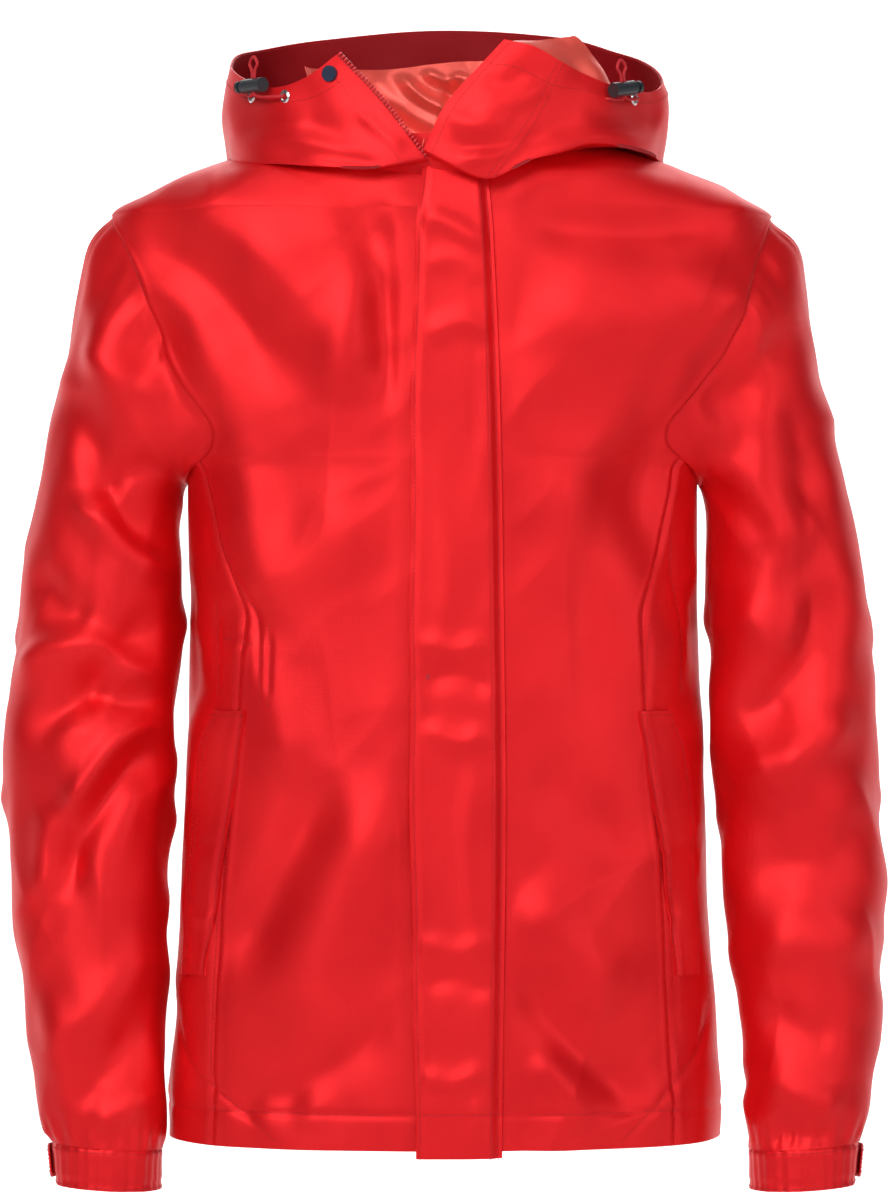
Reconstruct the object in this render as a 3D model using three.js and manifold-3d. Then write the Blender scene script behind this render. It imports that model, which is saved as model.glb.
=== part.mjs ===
// Hooded hardshell jacket as it stands on an invisible body, in millimetres, +Z up.
// The wearer faces -Y, so the wearer's left is +X. The origin is the hanger loop at the nape.
import * as THREE from 'three';
import { mergeVertices } from 'three/addons/utils/BufferGeometryUtils.js';
import Module from 'manifold-3d';

const wasm = await Module();
wasm.setup();

// ---------------------------------------------------------------- driving dimensions
const BODY_LENGTH = 713;          // nape to the bottom of the hem
const SHOULDER_HALF = 240;        // centre to the shoulder seam
const CHEST_HALF = 184;           // half of the width at the underarm
const HEM_HALF = 200;             // half of the width at the hem
const CHEST_DEPTH = 112;          // centre to the front, at the top of the zip
const HEM_DEPTH = 122;            // centre to the front, at the hem
const BACK_DEPTH = 110;           // centre to the back
const SQUARENESS = 2.5;           // exponent of the body's oval sections
const SHELL = 1.6;                // thickness of the shell fabric with its seam allowances
const GAP = 0.4;                  // clearance between neighbouring pieces
const LINING = 1.0;               // thickness of the lining
const NECK_HALF = 84;             // neck seam, half width
const NECK_FRONT = 104;           // neck seam, centre to front
const NECK_BACK = 62;             // neck seam, centre to back
const UNDERARM_Z = -232;
const SHOULDER_Z = -45;
const SLEEVE_DEPTH = 62;          // half of the upper sleeve, front to back
const CUFF_HALF = 38;             // half of the cuff's width
const CUFF_HEIGHT = 31;
const SLEEVE_SWING = 18;         // the wearer's left cuff hangs this much further out
const HEM_HEIGHT = 25;
const CUFF_DROP = 34;             // how far the cuffs reach below the hem
const TAB_HEIGHT = 26;
const FLAP_LEFT = 40;             // sewn edge of the storm flap
const FLAP_RIGHT = -22;           // free edge of the storm flap
const FLAP_CLEAR = 6.0;           // shell surface to the flap's inner face
const FLAP_THICK = 1.4;
const SLIDER_REST = -80;
const CHAIN_GAP = 0.6;            // half of the gap between the two tooth chains
const CHAIN_WIDTH = 2.6;
const TAPE_WIDTH = 13;
const HOOD_HALF = 157;            // half width across the hood's rim
const HOOD_FRONT = 108;
const HOOD_BACK = 122;
const RIM_SIDE_Z = 60;
const RIM_FRONT_Z = 44;
const RIM_EDGE_RISE = 18;         // the rim rises again next to the front opening
const RIM_BACK_Z = 104;
const POUCH_DROP = 150;           // how far the folded hood hangs behind the back
const CORD_DIAMETER = 2.2;
const LOCK_LENGTH = 23;
const LOCK_RADIUS = 5.2;
const LOCK_STANDOFF = 3.5;         // lock to the hood's wall
const PLUNGER_RADIUS = 3.3;
const PLUNGER_TRAVEL = 3.5;
const EYELET_RADIUS = 5;
const EYELET_HOLE = 2.2;
const STUD_RADIUS = 5.75;

// values that follow from them
const HEM_Z = -BODY_LENGTH;
const CUFF_Z = HEM_Z - CUFF_DROP;
const LINING_LOW = HEM_Z + HEM_HEIGHT + 0.5;
const PANEL_EDGE = 8;             // the front panels stop this far from the centre line
const HANGER_Y = NECK_BACK - 6;   // hanger loop, behind the body's centre
const DEG = Math.PI / 180;

// ---------------------------------------------------------------- materials
const cloth = (color, roughness) => new THREE.MeshStandardMaterial({ color, roughness, metalness: 0 });
const SHELL_RED = cloth(0xdb1424, 0.45);
const SEAM_RED = cloth(0xc40f1e, 0.5);
const LINING_RED = cloth(0xf4675a, 0.4);
const TAPE_RED = cloth(0xb00d1b, 0.7);
const TOOTH_RED = cloth(0xd0202c, 0.35);
const CORD_RED = cloth(0xb3101f, 0.8);
const BLACK_PLASTIC = cloth(0x16181d, 0.4);
const STUD_BLUE = new THREE.MeshStandardMaterial({ color: 0x1b2233, roughness: 0.3, metalness: 0.3 });
const EYELET_METAL = new THREE.MeshStandardMaterial({ color: 0xc9c4c6, roughness: 0.25, metalness: 1 });
const SPRING_STEEL = new THREE.MeshStandardMaterial({ color: 0x9b9da0, roughness: 0.35, metalness: 1 });
const LABEL_CLOTH = cloth(0xe8584f, 0.6);

// ---------------------------------------------------------------- helpers
const jacket = new THREE.Group();
jacket.position.y = -HANGER_Y;

function place(name, geometry, material, parent = jacket) {
  const mesh = new THREE.Mesh(geometry, material);
  mesh.name = name;
  parent.add(mesh);
  return mesh;
}

// Smooth curve through rows [z, value], listed from low to high.
function follow(rows, z) {
  const last = rows.length - 1;
  if (z <= rows[0][0]) return rows[0][1];
  if (z >= rows[last][0]) return rows[last][1];
  let k = 0;
  while (rows[k + 1][0] < z) k++;
  const slope = (i) => {
    if (i === 0 || i === last) return 0;
    const before = (rows[i][1] - rows[i - 1][1]) / (rows[i][0] - rows[i - 1][0]);
    const after = (rows[i + 1][1] - rows[i][1]) / (rows[i + 1][0] - rows[i][0]);
    return before * after <= 0 ? 0 : 2 * before * after / (before + after);
  };
  const span = rows[k + 1][0] - rows[k][0];
  const t = (z - rows[k][0]) / span;
  const t2 = t * t;
  const t3 = t2 * t;
  return (2 * t3 - 3 * t2 + 1) * rows[k][1] + (t3 - 2 * t2 + t) * span * slope(k)
    + (3 * t2 - 2 * t3) * rows[k + 1][1] + (t3 - t2) * span * slope(k + 1);
}

const mix = THREE.MathUtils.lerp;
const power = (x, e) => Math.sign(x) * Math.abs(x) ** e;

// Value in [low, high] where test turns from false to true.
function search(low, high, test) {
  let a = low;
  let b = high;
  for (let k = 0; k < 40; k++) {
    const m = (a + b) / 2;
    if (test(m)) b = m;
    else a = m;
  }
  return (a + b) / 2;
}

// A point lifted off a surface along its outward normal.
function lifted(surface, u, v, lift, du, dv) {
  const here = surface(u, v);
  if (lift === 0) return here;
  const across = surface(u + du, v).sub(surface(u - du, v));
  const along = surface(u, v + dv).sub(surface(u, v - dv));
  return here.addScaledVector(across.cross(along).normalize(), lift);
}

// Closed sheet between two grids of points; point(s, t, face) has face 0 inside and 1 outside.
function sheet(columns, rows, point, wrap = false) {
  const across = wrap ? columns : columns + 1;
  const layer = across * (rows + 1);
  const positions = [];
  for (const face of [0, 1]) {
    for (let j = 0; j <= rows; j++) {
      for (let i = 0; i < across; i++) positions.push(...point(i / columns, j / rows, face));
    }
  }
  const at = (i, j, face) => face * layer + j * across + (i % across);
  const index = [];
  const quad = (a, b, c, d) => index.push(a, b, c, a, c, d);
  for (let j = 0; j < rows; j++) {
    for (let i = 0; i < columns; i++) {
      quad(at(i, j, 1), at(i + 1, j, 1), at(i + 1, j + 1, 1), at(i, j + 1, 1));
      quad(at(i, j, 0), at(i, j + 1, 0), at(i + 1, j + 1, 0), at(i + 1, j, 0));
    }
  }
  for (let i = 0; i < columns; i++) {
    quad(at(i + 1, 0, 1), at(i, 0, 1), at(i, 0, 0), at(i + 1, 0, 0));
    quad(at(i, rows, 1), at(i + 1, rows, 1), at(i + 1, rows, 0), at(i, rows, 0));
  }
  if (!wrap) {
    for (let j = 0; j < rows; j++) {
      quad(at(0, j, 1), at(0, j + 1, 1), at(0, j + 1, 0), at(0, j, 0));
      quad(at(columns, j + 1, 1), at(columns, j, 1), at(columns, j, 0), at(columns, j + 1, 0));
    }
  }
  if (volume(positions, index) < 0) index.reverse();
  const geometry = new THREE.BufferGeometry();
  geometry.setAttribute('position', new THREE.Float32BufferAttribute(positions, 3));
  geometry.setIndex(index);
  return geometry;
}

function volume(positions, index) {
  const corner = (k) => new THREE.Vector3(...positions.slice(3 * index[k], 3 * index[k] + 3));
  let sum = 0;
  for (let k = 0; k < index.length; k += 3) sum += corner(k).dot(corner(k + 1).cross(corner(k + 2)));
  return sum;
}

function solid(geometry) {
  const bare = geometry.clone();
  bare.deleteAttribute('normal');
  bare.deleteAttribute('uv');
  const merged = mergeVertices(bare, 1e-4);
  const mesh = new wasm.Mesh({
    numProp: 3,
    vertProperties: new Float32Array(merged.attributes.position.array),
    triVerts: new Uint32Array(merged.index.array),
  });
  return new wasm.Manifold(mesh);
}

function carved(body) {
  const mesh = body.getMesh();
  const geometry = new THREE.BufferGeometry();
  geometry.setAttribute('position', new THREE.BufferAttribute(mesh.vertProperties, 3));
  geometry.setIndex(new THREE.BufferAttribute(mesh.triVerts, 1));
  return geometry;
}

const box = (x, y, z, cx = 0, cy = 0, cz = 0) => new THREE.BoxGeometry(x, y, z).translate(cx, cy, cz);
const alongX = (r, length, cx, sides = 16) =>
  new THREE.CylinderGeometry(r, r, length, sides).rotateZ(Math.PI / 2).translate(cx, 0, 0);
const alongY = (r, length, cy, sides = 16) =>
  new THREE.CylinderGeometry(r, r, length, sides).translate(0, cy, 0);

// ---------------------------------------------------------------- body surface
const zipSlope = (HEM_DEPTH - CHEST_DEPTH) / (SLIDER_REST - HEM_Z);
const halfWidth = (z) => follow([
  [HEM_Z, HEM_HALF], [-600, HEM_HALF - 4], [-480, (HEM_HALF + CHEST_HALF) / 2 - 2],
  [-330, CHEST_HALF + 1], [UNDERARM_Z, CHEST_HALF], [-215, CHEST_HALF + 10], [-190, CHEST_HALF + 24],
  [-138, SHOULDER_HALF - 3], [-90, SHOULDER_HALF + 9], [-60, SHOULDER_HALF + 4.5],
  [SHOULDER_Z, SHOULDER_HALF - 2.4], [-30, SHOULDER_HALF - 24], [-15, SHOULDER_HALF - 57],
  [-3, SHOULDER_HALF - 92], [4, NECK_HALF + 22], [9, NECK_HALF - 4]], z);
const frontDepth = (z) => (z <= SLIDER_REST
  ? CHEST_DEPTH + (SLIDER_REST - z) * zipSlope
  : follow([[SLIDER_REST, CHEST_DEPTH], [-45, CHEST_DEPTH - 2], [-20, NECK_FRONT], [-10, NECK_FRONT - 9],
    [0, NECK_FRONT - 22], [9, NECK_FRONT - 44]], z));
const backDepth = (z) => follow([
  [HEM_Z, BACK_DEPTH + 6], [-500, BACK_DEPTH], [-300, BACK_DEPTH + 2], [-150, BACK_DEPTH + 3],
  [-70, BACK_DEPTH - 14], [SHOULDER_Z, BACK_DEPTH - 24], [-20, BACK_DEPTH - 38], [-3, NECK_BACK],
  [9, NECK_BACK - 10]], z);

// angle 0 is the wearer's left side, 90 degrees the back, -90 the centre front
function torso(angle, z) {
  const side = Math.cos(angle);
  const depth = Math.sin(angle);
  return new THREE.Vector3(
    halfWidth(z) * power(side, 2 / SQUARENESS),
    (depth < 0 ? frontDepth(z) : backDepth(z)) * power(depth, 2 / SQUARENESS), z);
}
const onTorso = (angle, z, lift) => lifted(torso, angle, z, lift, 0.002, 0.5);
const frontAngle = (x, z) => -Math.acos(power(x / halfWidth(z), SQUARENESS / 2));

// The armhole lies in one slanted plane on each side.
const armholeX = (z) => mix(CHEST_HALF, SHOULDER_HALF, (z - UNDERARM_Z) / (SHOULDER_Z - UNDERARM_Z));
const ARMHOLE_CLEAR = 1.7;        // the shell's outer face leans towards the sleeve by up to its thickness
const armholeShare = (z) => Math.min(1, (armholeX(z) - ARMHOLE_CLEAR) / halfWidth(z));
const armholeAngle = (z) => Math.acos(armholeShare(z) ** (SQUARENESS / 2));
// The side panel's seams, as an angle either side of the side: low at the armhole, wide at the pocket.
const sideSeam = (z) => DEG * follow([
  [HEM_Z, 38], [-590, 38], [-400, 43], [-340, 45], [-282, 34], [-200, 24]], z);
const CORNER_Z = search(UNDERARM_Z, -160, (z) => armholeAngle(z) > sideSeam(z));
// Above the side panel's top corner the front and back panels end at the armhole, up to the shoulder.
const panelLimit = (z) => {
  if (z <= CORNER_Z) return sideSeam(z);
  if (z >= SHOULDER_Z) return 0.004;
  return Math.max(0.004, armholeAngle(z));
};
const insideNeck = (p, margin) => (p.x / (NECK_HALF + margin)) ** 2
  + (p.y / ((p.y < 0 ? NECK_FRONT : NECK_BACK) + margin)) ** 2 < 1;

// Rows of the body's panels: up to the underarm, to the side panel's top corner, and to the shoulder.
const LOW_ROWS = [-590, -495, -400, -340, -282, UNDERARM_Z - 4];
const CORNER_STEPS = 3;
const HIGH_ROWS = [-170, -138, -105, -75, SHOULDER_Z];
const NECK_STEPS = 3;
const cornerRow = (k, top) => mix(UNDERARM_Z - 4, top, k / CORNER_STEPS);
// Panel between two limits of angle, from low up to the neck seam, which margin makes wider.
function panel(columns, low, limits, inner, outer, margin = 0) {
  const fixed = [low, ...LOW_ROWS];
  for (let k = 1; k <= CORNER_STEPS; k++) fixed.push(cornerRow(k, CORNER_Z));
  fixed.push(...HIGH_ROWS);
  const height = (s, j) => {
    if (j < fixed.length) return fixed[j];
    const column = (z) => torso(mix(...limits(z), s), z);
    const neck = search(SHOULDER_Z, 8.5, (z) => insideNeck(column(z), margin));
    return mix(SHOULDER_Z, neck, (j - fixed.length + 1) / NECK_STEPS);
  };
  const total = fixed.length - 1 + NECK_STEPS;
  return sheet(columns, total, (s, t, face) => {
    const z = height(s, Math.round(t * total));
    return onTorso(mix(...limits(z), s), z, face ? outer : inner);
  });
}

const seam = 0.5 * GAP / CHEST_HALF;
const mirrorAngle = (angle) => -Math.PI - angle;
const frontLimits = (side) => (z) => {
  const centre = frontAngle(side * PANEL_EDGE, z);
  const outer = -panelLimit(z) - seam;
  return side > 0 ? [centre, outer] : [centre, mirrorAngle(outer)];
};
const backLimits = (z) => [panelLimit(z) + seam, Math.PI - panelLimit(z) - seam];

place('back_panel', panel(14, HEM_Z, backLimits, 0, SHELL), SHELL_RED);
place('back_lining', panel(10, LINING_LOW, backLimits, -4.6 - LINING, -4.6, 7), LINING_RED);
const SIDES = [['right', -1], ['left', 1]];
for (const [name, side] of SIDES) {
  place(`front_panel_${name}`, panel(9, HEM_Z, frontLimits(side), 0, SHELL), SHELL_RED);
  const liningLimits = (z) => {
    const [, outer] = frontLimits(side)(z);
    return [frontAngle(side * (TAPE_WIDTH + 12), z), outer];
  };
  place(`front_lining_${name}`, panel(7, LINING_LOW, liningLimits, -4.6 - LINING, -4.6, 7), LINING_RED);
}

// Side panels run up to the bottom of the armhole.
const sideAngle = (s, z) => s * (sideSeam(z) - seam);
for (const [name, side] of SIDES) {
  const topOf = (s) => Math.abs(s) > 0.999 ? CORNER_Z : search(UNDERARM_Z - 4, CORNER_Z, (z) => {
    const p = torso(Math.abs(sideAngle(s, z)), z);
    return p.x > armholeX(z) - ARMHOLE_CLEAR - 1;
  });
  const rows = LOW_ROWS.length + CORNER_STEPS;
  place(`side_panel_${name}`, sheet(10, rows, (s, t, face) => {
    const across = mix(-1, 1, s);
    const j = Math.round(t * rows);
    const z = j <= LOW_ROWS.length ? [HEM_Z, ...LOW_ROWS][j] : cornerRow(j - LOW_ROWS.length, topOf(across));
    const angle = sideAngle(across, z);
    return onTorso(side > 0 ? angle : Math.PI - angle, z, face ? SHELL : 0);
  }), SHELL_RED);
}

// ---------------------------------------------------------------- hem, turned to the inside
const hemStart = TAPE_WIDTH + 6;
place('hem_band', sheet(36, 1, (s, t, face) => {
  const z = mix(HEM_Z, HEM_Z + HEM_HEIGHT, t);
  const from = frontAngle(hemStart, z);
  const to = 2 * Math.PI + frontAngle(-hemStart, z);
  return onTorso(mix(from, to, s), z, face ? -1.6 : -4.0);
}), SEAM_RED);

// ---------------------------------------------------------------- sleeves and cuffs
// Centre line and half widths of the wearer's left sleeve, from the shoulder to the wrist.
const CUFF_TOP = CUFF_Z + CUFF_HEIGHT + 2 * GAP;
const armholeSlope = (SHOULDER_HALF - CHEST_HALF) / (SHOULDER_Z - UNDERARM_Z);
const sleeveMid = {
  x: (SHOULDER_HALF + CHEST_HALF) / 2 + GAP,
  z: (SHOULDER_Z + UNDERARM_Z) / 2,
  half: Math.hypot(SHOULDER_HALF - CHEST_HALF, SHOULDER_Z - UNDERARM_Z) / 2,
};
// [height of the middle, centre x, half width, half depth, centre y, tilt of the section in degrees]
const SLEEVE = [
  [CUFF_TOP, 243, CUFF_HALF + 2, CUFF_HALF, -30, 4],
  [-660, 249, 46, 44, -24, 3],
  [-600, 254, 51, 50, -18, 2],
  [-520, 257, 58, 56, -11, 1],
  [-413, 255, 61, 60, -5, 2],
  [-347, 251, 60, SLEEVE_DEPTH, -2, 8],
  [-275, 244, 56, SLEEVE_DEPTH, 0, 22],
  [-200, 232, 64, SLEEVE_DEPTH, 0, 48],
];
const armholeTilt = Math.atan(1 / armholeSlope) / DEG;
function sleeveRing(k) {
  if (k < SLEEVE.length) return SLEEVE[k];
  return [sleeveMid.z, sleeveMid.x, sleeveMid.half, SLEEVE_DEPTH, 0, armholeTilt];
}
// The wearer's left sleeve hangs further from the body below the elbow.
const swing = (side, z) => (side < 0 ? 0
  : follow([[-700, SLEEVE_SWING], [-600, SLEEVE_SWING * 0.67], [-450, 0]], z));
function sleevePoint(side, ring, turn, lift) {
  const [z, x, half, depth, y, tilt] = ring;
  const out = Math.cos(turn) * (half + lift);
  const rise = tilt * DEG;
  return new THREE.Vector3(
    side * (x + out * Math.cos(rise)) + swing(side, z),
    y + Math.sin(turn) * (depth + lift),
    z + out * Math.sin(rise));
}
for (const [name, side] of SIDES) {
  place(`sleeve_${name}`, sheet(16, SLEEVE.length, (s, t, face) => {
    const ring = sleeveRing(Math.round(t * SLEEVE.length));
    return sleevePoint(side, ring, 2 * Math.PI * s, face ? 0 : -SHELL);
  }, true), SHELL_RED);
}
// Ring of the cuff at a share t of its height: height, centre x, half width, half depth, centre y, tilt.
const cuffRing = (t) => [
  mix(CUFF_Z, CUFF_Z + CUFF_HEIGHT, t),
  mix(241.5, 243, t),
  mix(CUFF_HALF, CUFF_HALF + 1.6, t),
  mix(CUFF_HALF - 2, CUFF_HALF - 0.4, t),
  mix(-32, -30.5, t),
  3];
// The tab starts behind the wrist and ends at the outer edge; turn 0 is the outer side, 90 the back.
const TAB_STEP = 10;               // degrees between the cuff's corners
const TAB_SEWN = 110;
const TAB_FREE = 0;
const tabPiece = (side, from, to, low, high, inner, outer) => {
  const columns = Math.round((from - to) / TAB_STEP);
  return sheet(columns, 1, (s, t, face) => {
    const turn = mix(to, from, s) * DEG;
    return sleevePoint(side, cuffRing(mix(low, high, t)), turn, face ? outer : inner);
  });
};
for (const [name, side] of SIDES) {
  place(`cuff_band_${name}`, sheet(36, 1, (s, t, face) =>
    sleevePoint(side, cuffRing(t), 2 * Math.PI * s, face ? 0 : -1.6), true), SEAM_RED);
  const share = TAB_HEIGHT / CUFF_HEIGHT / 2;
  const [low, high] = [0.5 - share, 0.5 + share];
  const loopTop = GAP + 0.8;
  const hookTop = loopTop + GAP + 0.8;
  const tabTop = hookTop + GAP + 1.4;
  place(`cuff_loop_patch_${name}`, tabPiece(side, 70, 10, low + 0.1, high - 0.1, GAP, loopTop), TAPE_RED);
  place(`cuff_hook_patch_${name}`,
    tabPiece(side, 40, 10, low + 0.12, high - 0.12, loopTop + GAP, hookTop), TAPE_RED);
  place(`cuff_tab_${name}`, tabPiece(side, TAB_SEWN, TAB_FREE, low, high, hookTop + GAP, tabTop), SEAM_RED);
}

// ---------------------------------------------------------------- hood
// u is the angle round the neck; v runs from the neck seam over the lower fold up to the rim.
const forward = (s) => Math.max(0, -s);
const behind = (s) => Math.max(0, s);
const HOOD_LIFT = 8;              // the hood lies this far over the shoulders and the back
function clearOfBody(p) {
  const lift = HOOD_LIFT;
  const fullness = (q) => Math.abs(q.x / (halfWidth(q.z - lift) + lift)) ** SQUARENESS
    + Math.abs(q.y / ((q.y < 0 ? frontDepth : backDepth)(q.z - lift) + lift)) ** SQUARENESS - 1;
  const step = 0.2;
  if (fullness(p) >= 0) return p;
  for (let k = 0; k < 12; k++) {
    const f = fullness(p);
    const slope = new THREE.Vector3();
    for (const axis of ['x', 'y', 'z']) {
      const near = p.clone();
      near[axis] += step;
      slope[axis] = (fullness(near) - f) / step;
    }
    p.addScaledVector(slope, -f / slope.lengthSq());
  }
  return p;
}
function onHood(u, v, lift) {
  const c = Math.cos(u);
  const s = Math.sin(u);
  const x = power(c, 0.9);
  const y = power(s, 0.9);
  const front = forward(s);
  const back = behind(s);
  const drop = back ** 1.5;
  const rimFront = RIM_FRONT_Z + RIM_EDGE_RISE * THREE.MathUtils.smoothstep(front, 0.8, 0.93);
  // half width, half depth, height, and how much the outer face looks outwards and downwards there
  const stations = [
    [NECK_HALF + 3, s < 0 ? NECK_FRONT + 3 : NECK_BACK + 3, 14 - 29 * front ** 1.6 - 4 * back,
      front, 1 - front],
    [118, s < 0 ? HOOD_FRONT : BACK_DEPTH + 8, 9 - 25 * front - 60 * drop, front - drop, 1 - front - drop],
    [149, s < 0 ? HOOD_FRONT + 4 : BACK_DEPTH + 24, 8 - 22 * front - POUCH_DROP * drop, 1, 1 - front],
    [HOOD_HALF, s < 0 ? HOOD_FRONT + 6 : BACK_DEPTH + 42, 28 - 16 * front - 70 * drop, 1, 0],
    [HOOD_HALF + 1, s < 0 ? HOOD_FRONT + 6 : BACK_DEPTH + 36, mix(44, 30, front), 1, 0],
    [HOOD_HALF, s < 0 ? HOOD_FRONT + 3 : HOOD_BACK,
      mix(RIM_SIDE_Z, rimFront, front ** 0.5) + (RIM_BACK_Z - RIM_SIDE_Z) * drop, 1, 0],
  ];
  const last = stations.length - 1;
  const curve = stations.map(([a, b, z]) => new THREE.Vector3(a * x, b * y, z));
  const held = THREE.MathUtils.clamp(v, 0, 1);
  const point = clearOfBody(new THREE.CatmullRomCurve3(curve, false, 'chordal').getPoint(held));
  const k = Math.min(last - 1, Math.floor(held * last));
  const outwards = mix(stations[k][3], stations[k + 1][3], held * last - k);
  const downwards = mix(stations[k][4], stations[k + 1][4], held * last - k);
  return point.addScaledVector(new THREE.Vector3(c * outwards, s * outwards, -downwards).normalize(), lift);
}
const frontEdge = (side, v) => (-90 + side * (3 + (side < 0 ? 19 : 15) * v * v)) * DEG;
const HOOD_SEAM = 50 * DEG;       // either side of the back's centre line
const hoodGap = 0.6 / HOOD_HALF;
function hoodPanel(columns, rows, from, to, v0, v1, inner, outer) {
  return sheet(columns, rows, (s, t, face) => {
    const v = mix(v0, v1, t);
    return onHood(mix(from(v), to(v), s), v, face ? outer : inner);
  });
}
const backSeam = (side) => Math.PI / 2 - side * HOOD_SEAM;
const HOOD_COLUMNS = 8;
const HOOD_ROWS = 8;
const leftEdge = (v) => frontEdge(1, v);
const rightEdge = (v) => 2 * Math.PI + frontEdge(-1, v);
const hoodSections = [
  ['hood_side_left', leftEdge, () => backSeam(1) - hoodGap],
  ['hood_centre', () => backSeam(1) + hoodGap, () => backSeam(-1) - hoodGap],
  ['hood_side_right', () => backSeam(-1) + hoodGap, rightEdge],
];
for (const [name, from, to] of hoodSections) {
  place(name, hoodPanel(HOOD_COLUMNS, HOOD_ROWS, from, to, 0, 1, 0, SHELL), SHELL_RED);
}
// The lining and the rim casing follow the three panels' own columns and rows.
function hoodRound(s, v, inset) {
  const [, from, to] = hoodSections[Math.min(2, Math.floor(s * 3 + 1e-6))];
  const share = s * 3 - Math.min(2, Math.floor(s * 3 + 1e-6));
  return THREE.MathUtils.clamp(mix(from(v), to(v), share), leftEdge(v) + inset, rightEdge(v) - inset);
}
const LAST_ROW = (HOOD_ROWS - 1) / HOOD_ROWS;
place('hood_lining', sheet(3 * HOOD_COLUMNS, HOOD_ROWS - 1, (s, t, face) => {
  const v = Math.min(t * LAST_ROW, LAST_ROW - 0.01);
  return onHood(hoodRound(s, v, 0.03), v, face ? -1.2 : -1.2 - LINING);
}), LINING_RED);
place('hood_rim_casing', sheet(3 * HOOD_COLUMNS, 1, (s, t, face) => {
  const v = mix(LAST_ROW, 1, t);
  return onHood(hoodRound(s, v, 0.03), v, face ? -0.7 : -2.0);
}), SEAM_RED);

// ---------------------------------------------------------------- neck band, hanger loop and label
const BAND_INSET = 2.7;           // neck band inside the neck seam
const neckTop = (u) => 22 - 26 * forward(Math.sin(u)) ** 1.6;
const neckRing = (u, z, lift) => new THREE.Vector3((NECK_HALF + lift) * Math.cos(u),
  ((Math.sin(u) < 0 ? NECK_FRONT : NECK_BACK) + lift) * Math.sin(u), z);
place('neck_band', sheet(32, 1, (s, t, face) => {
  const u = mix(-84, 264, s) * DEG;
  return neckRing(u, neckTop(u) + mix(-30, 0, t), face ? -BAND_INSET : -BAND_INSET - 1.4);
}), LINING_RED);
const LOOP_WIDTH = 60;
const loopPath = new THREE.CatmullRomCurve3([
  [-LOOP_WIDTH / 2, 1.4, 4], [-26, 1.35, 3.4], [-14, 0.3, 0.8], [0, 0, 0], [14, 0.3, 0.8],
  [26, 1.35, 3.4], [LOOP_WIDTH / 2, 1.4, 4]].map((p) => new THREE.Vector3(...p)));
place('hanger_loop', sheet(16, 1, (s, t, face) => {
  const p = loopPath.getPoint(s);
  const back = NECK_BACK * Math.sqrt(1 - (p.x / NECK_HALF) ** 2) - NECK_BACK;
  return new THREE.Vector3(p.x, HANGER_Y + back + p.y + (face ? 0 : -1.2), p.z + mix(-3, 3, t));
}), TAPE_RED);
const LABEL_HALF = 21;
place('neck_label', sheet(8, 1, (s, t, face) => {
  const x = mix(-LABEL_HALF, LABEL_HALF, s);
  const u = Math.PI / 2 - Math.asin(x / (NECK_HALF - 3));
  return neckRing(u, mix(-4, -30, t), -BAND_INSET - 1.8 - (face ? 0 : 0.8));
}), LABEL_CLOTH);

// ---------------------------------------------------------------- zip
// The zip lies on the straight centre front below its top and follows the open edge above it.
const zipPoint = (x, z, lift) => {
  const across = new THREE.Vector3(x, -frontDepth(z), z);
  const out = new THREE.Vector3(0, -1, zipSlope).normalize();
  return across.addScaledVector(out, lift);
};
const ZIP_TOP = -30;
const chainRows = [HEM_Z + 6, ...HIGH_ROWS.slice(2)];
for (let k = 1; k <= NECK_STEPS; k++) chainRows.push(mix(SHOULDER_Z, ZIP_TOP - 1, k / NECK_STEPS));
function ribbon(side, from, to, heights, inner, outer) {
  return sheet(1, heights.length - 1, (s, t, face) => {
    const z = heights[Math.round(t * (heights.length - 1))];
    return zipPoint(side * mix(from, to, s), z, face ? outer : inner);
  });
}
const tapeEdge = CHAIN_GAP + CHAIN_WIDTH + 0.3;
for (const [name, side] of SIDES) {
  place(`zip_teeth_${name}`,
    ribbon(side, CHAIN_GAP, CHAIN_GAP + CHAIN_WIDTH, chainRows, -2.3, 0.1), TOOTH_RED);
  place(`zip_tape_${name}`, ribbon(side, tapeEdge, tapeEdge + TAPE_WIDTH, chainRows, -1.9, -0.9), TAPE_RED);
}

const zipFrame = new THREE.Group();     // turned so that its Z lies along the zip and its -Y points outwards
zipFrame.position.copy(zipPoint(0, SLIDER_REST, 0));
zipFrame.rotation.x = -Math.atan(zipSlope);
jacket.add(zipFrame);

const SLIDER_LENGTH = 14;
const SLIDER_HALF = 6.4;
const plateFront = box(2 * SLIDER_HALF, 1.5, SLIDER_LENGTH, 0, -1.3, 0);
const plateBack = box(2 * SLIDER_HALF, 1.5, SLIDER_LENGTH, 0, 3.45, 0);
const web = box(2 * (CHAIN_GAP - 0.3), 5, 8, 0, 1, 3);
const boss = alongY(1.3, 3.4, -3.2);
const bossHead = alongY(2.3, 0.6, -4.8);
place('zip_slider', carved(solid(plateFront).add(solid(plateBack)).add(solid(web)).add(solid(boss))
  .add(solid(bossHead))), TOOTH_RED, zipFrame);
const PULL_LENGTH = 28;
const pullOutline = new THREE.Shape();
pullOutline.absarc(0, 0, 3.2, 0, Math.PI, false);
pullOutline.lineTo(-2.4, -PULL_LENGTH + 3);
pullOutline.absarc(0, -PULL_LENGTH + 3, 3, Math.PI, 2 * Math.PI, false);
pullOutline.holes.push(new THREE.Path().absarc(0, 0, 1.7, 0, 2 * Math.PI, true));
const pull = new THREE.ExtrudeGeometry(pullOutline, { depth: 1.0, bevelEnabled: false, curveSegments: 8 });
place('zip_pull', pull.rotateX(Math.PI / 2).translate(0, -3.2, 0), TOOTH_RED, zipFrame);

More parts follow.
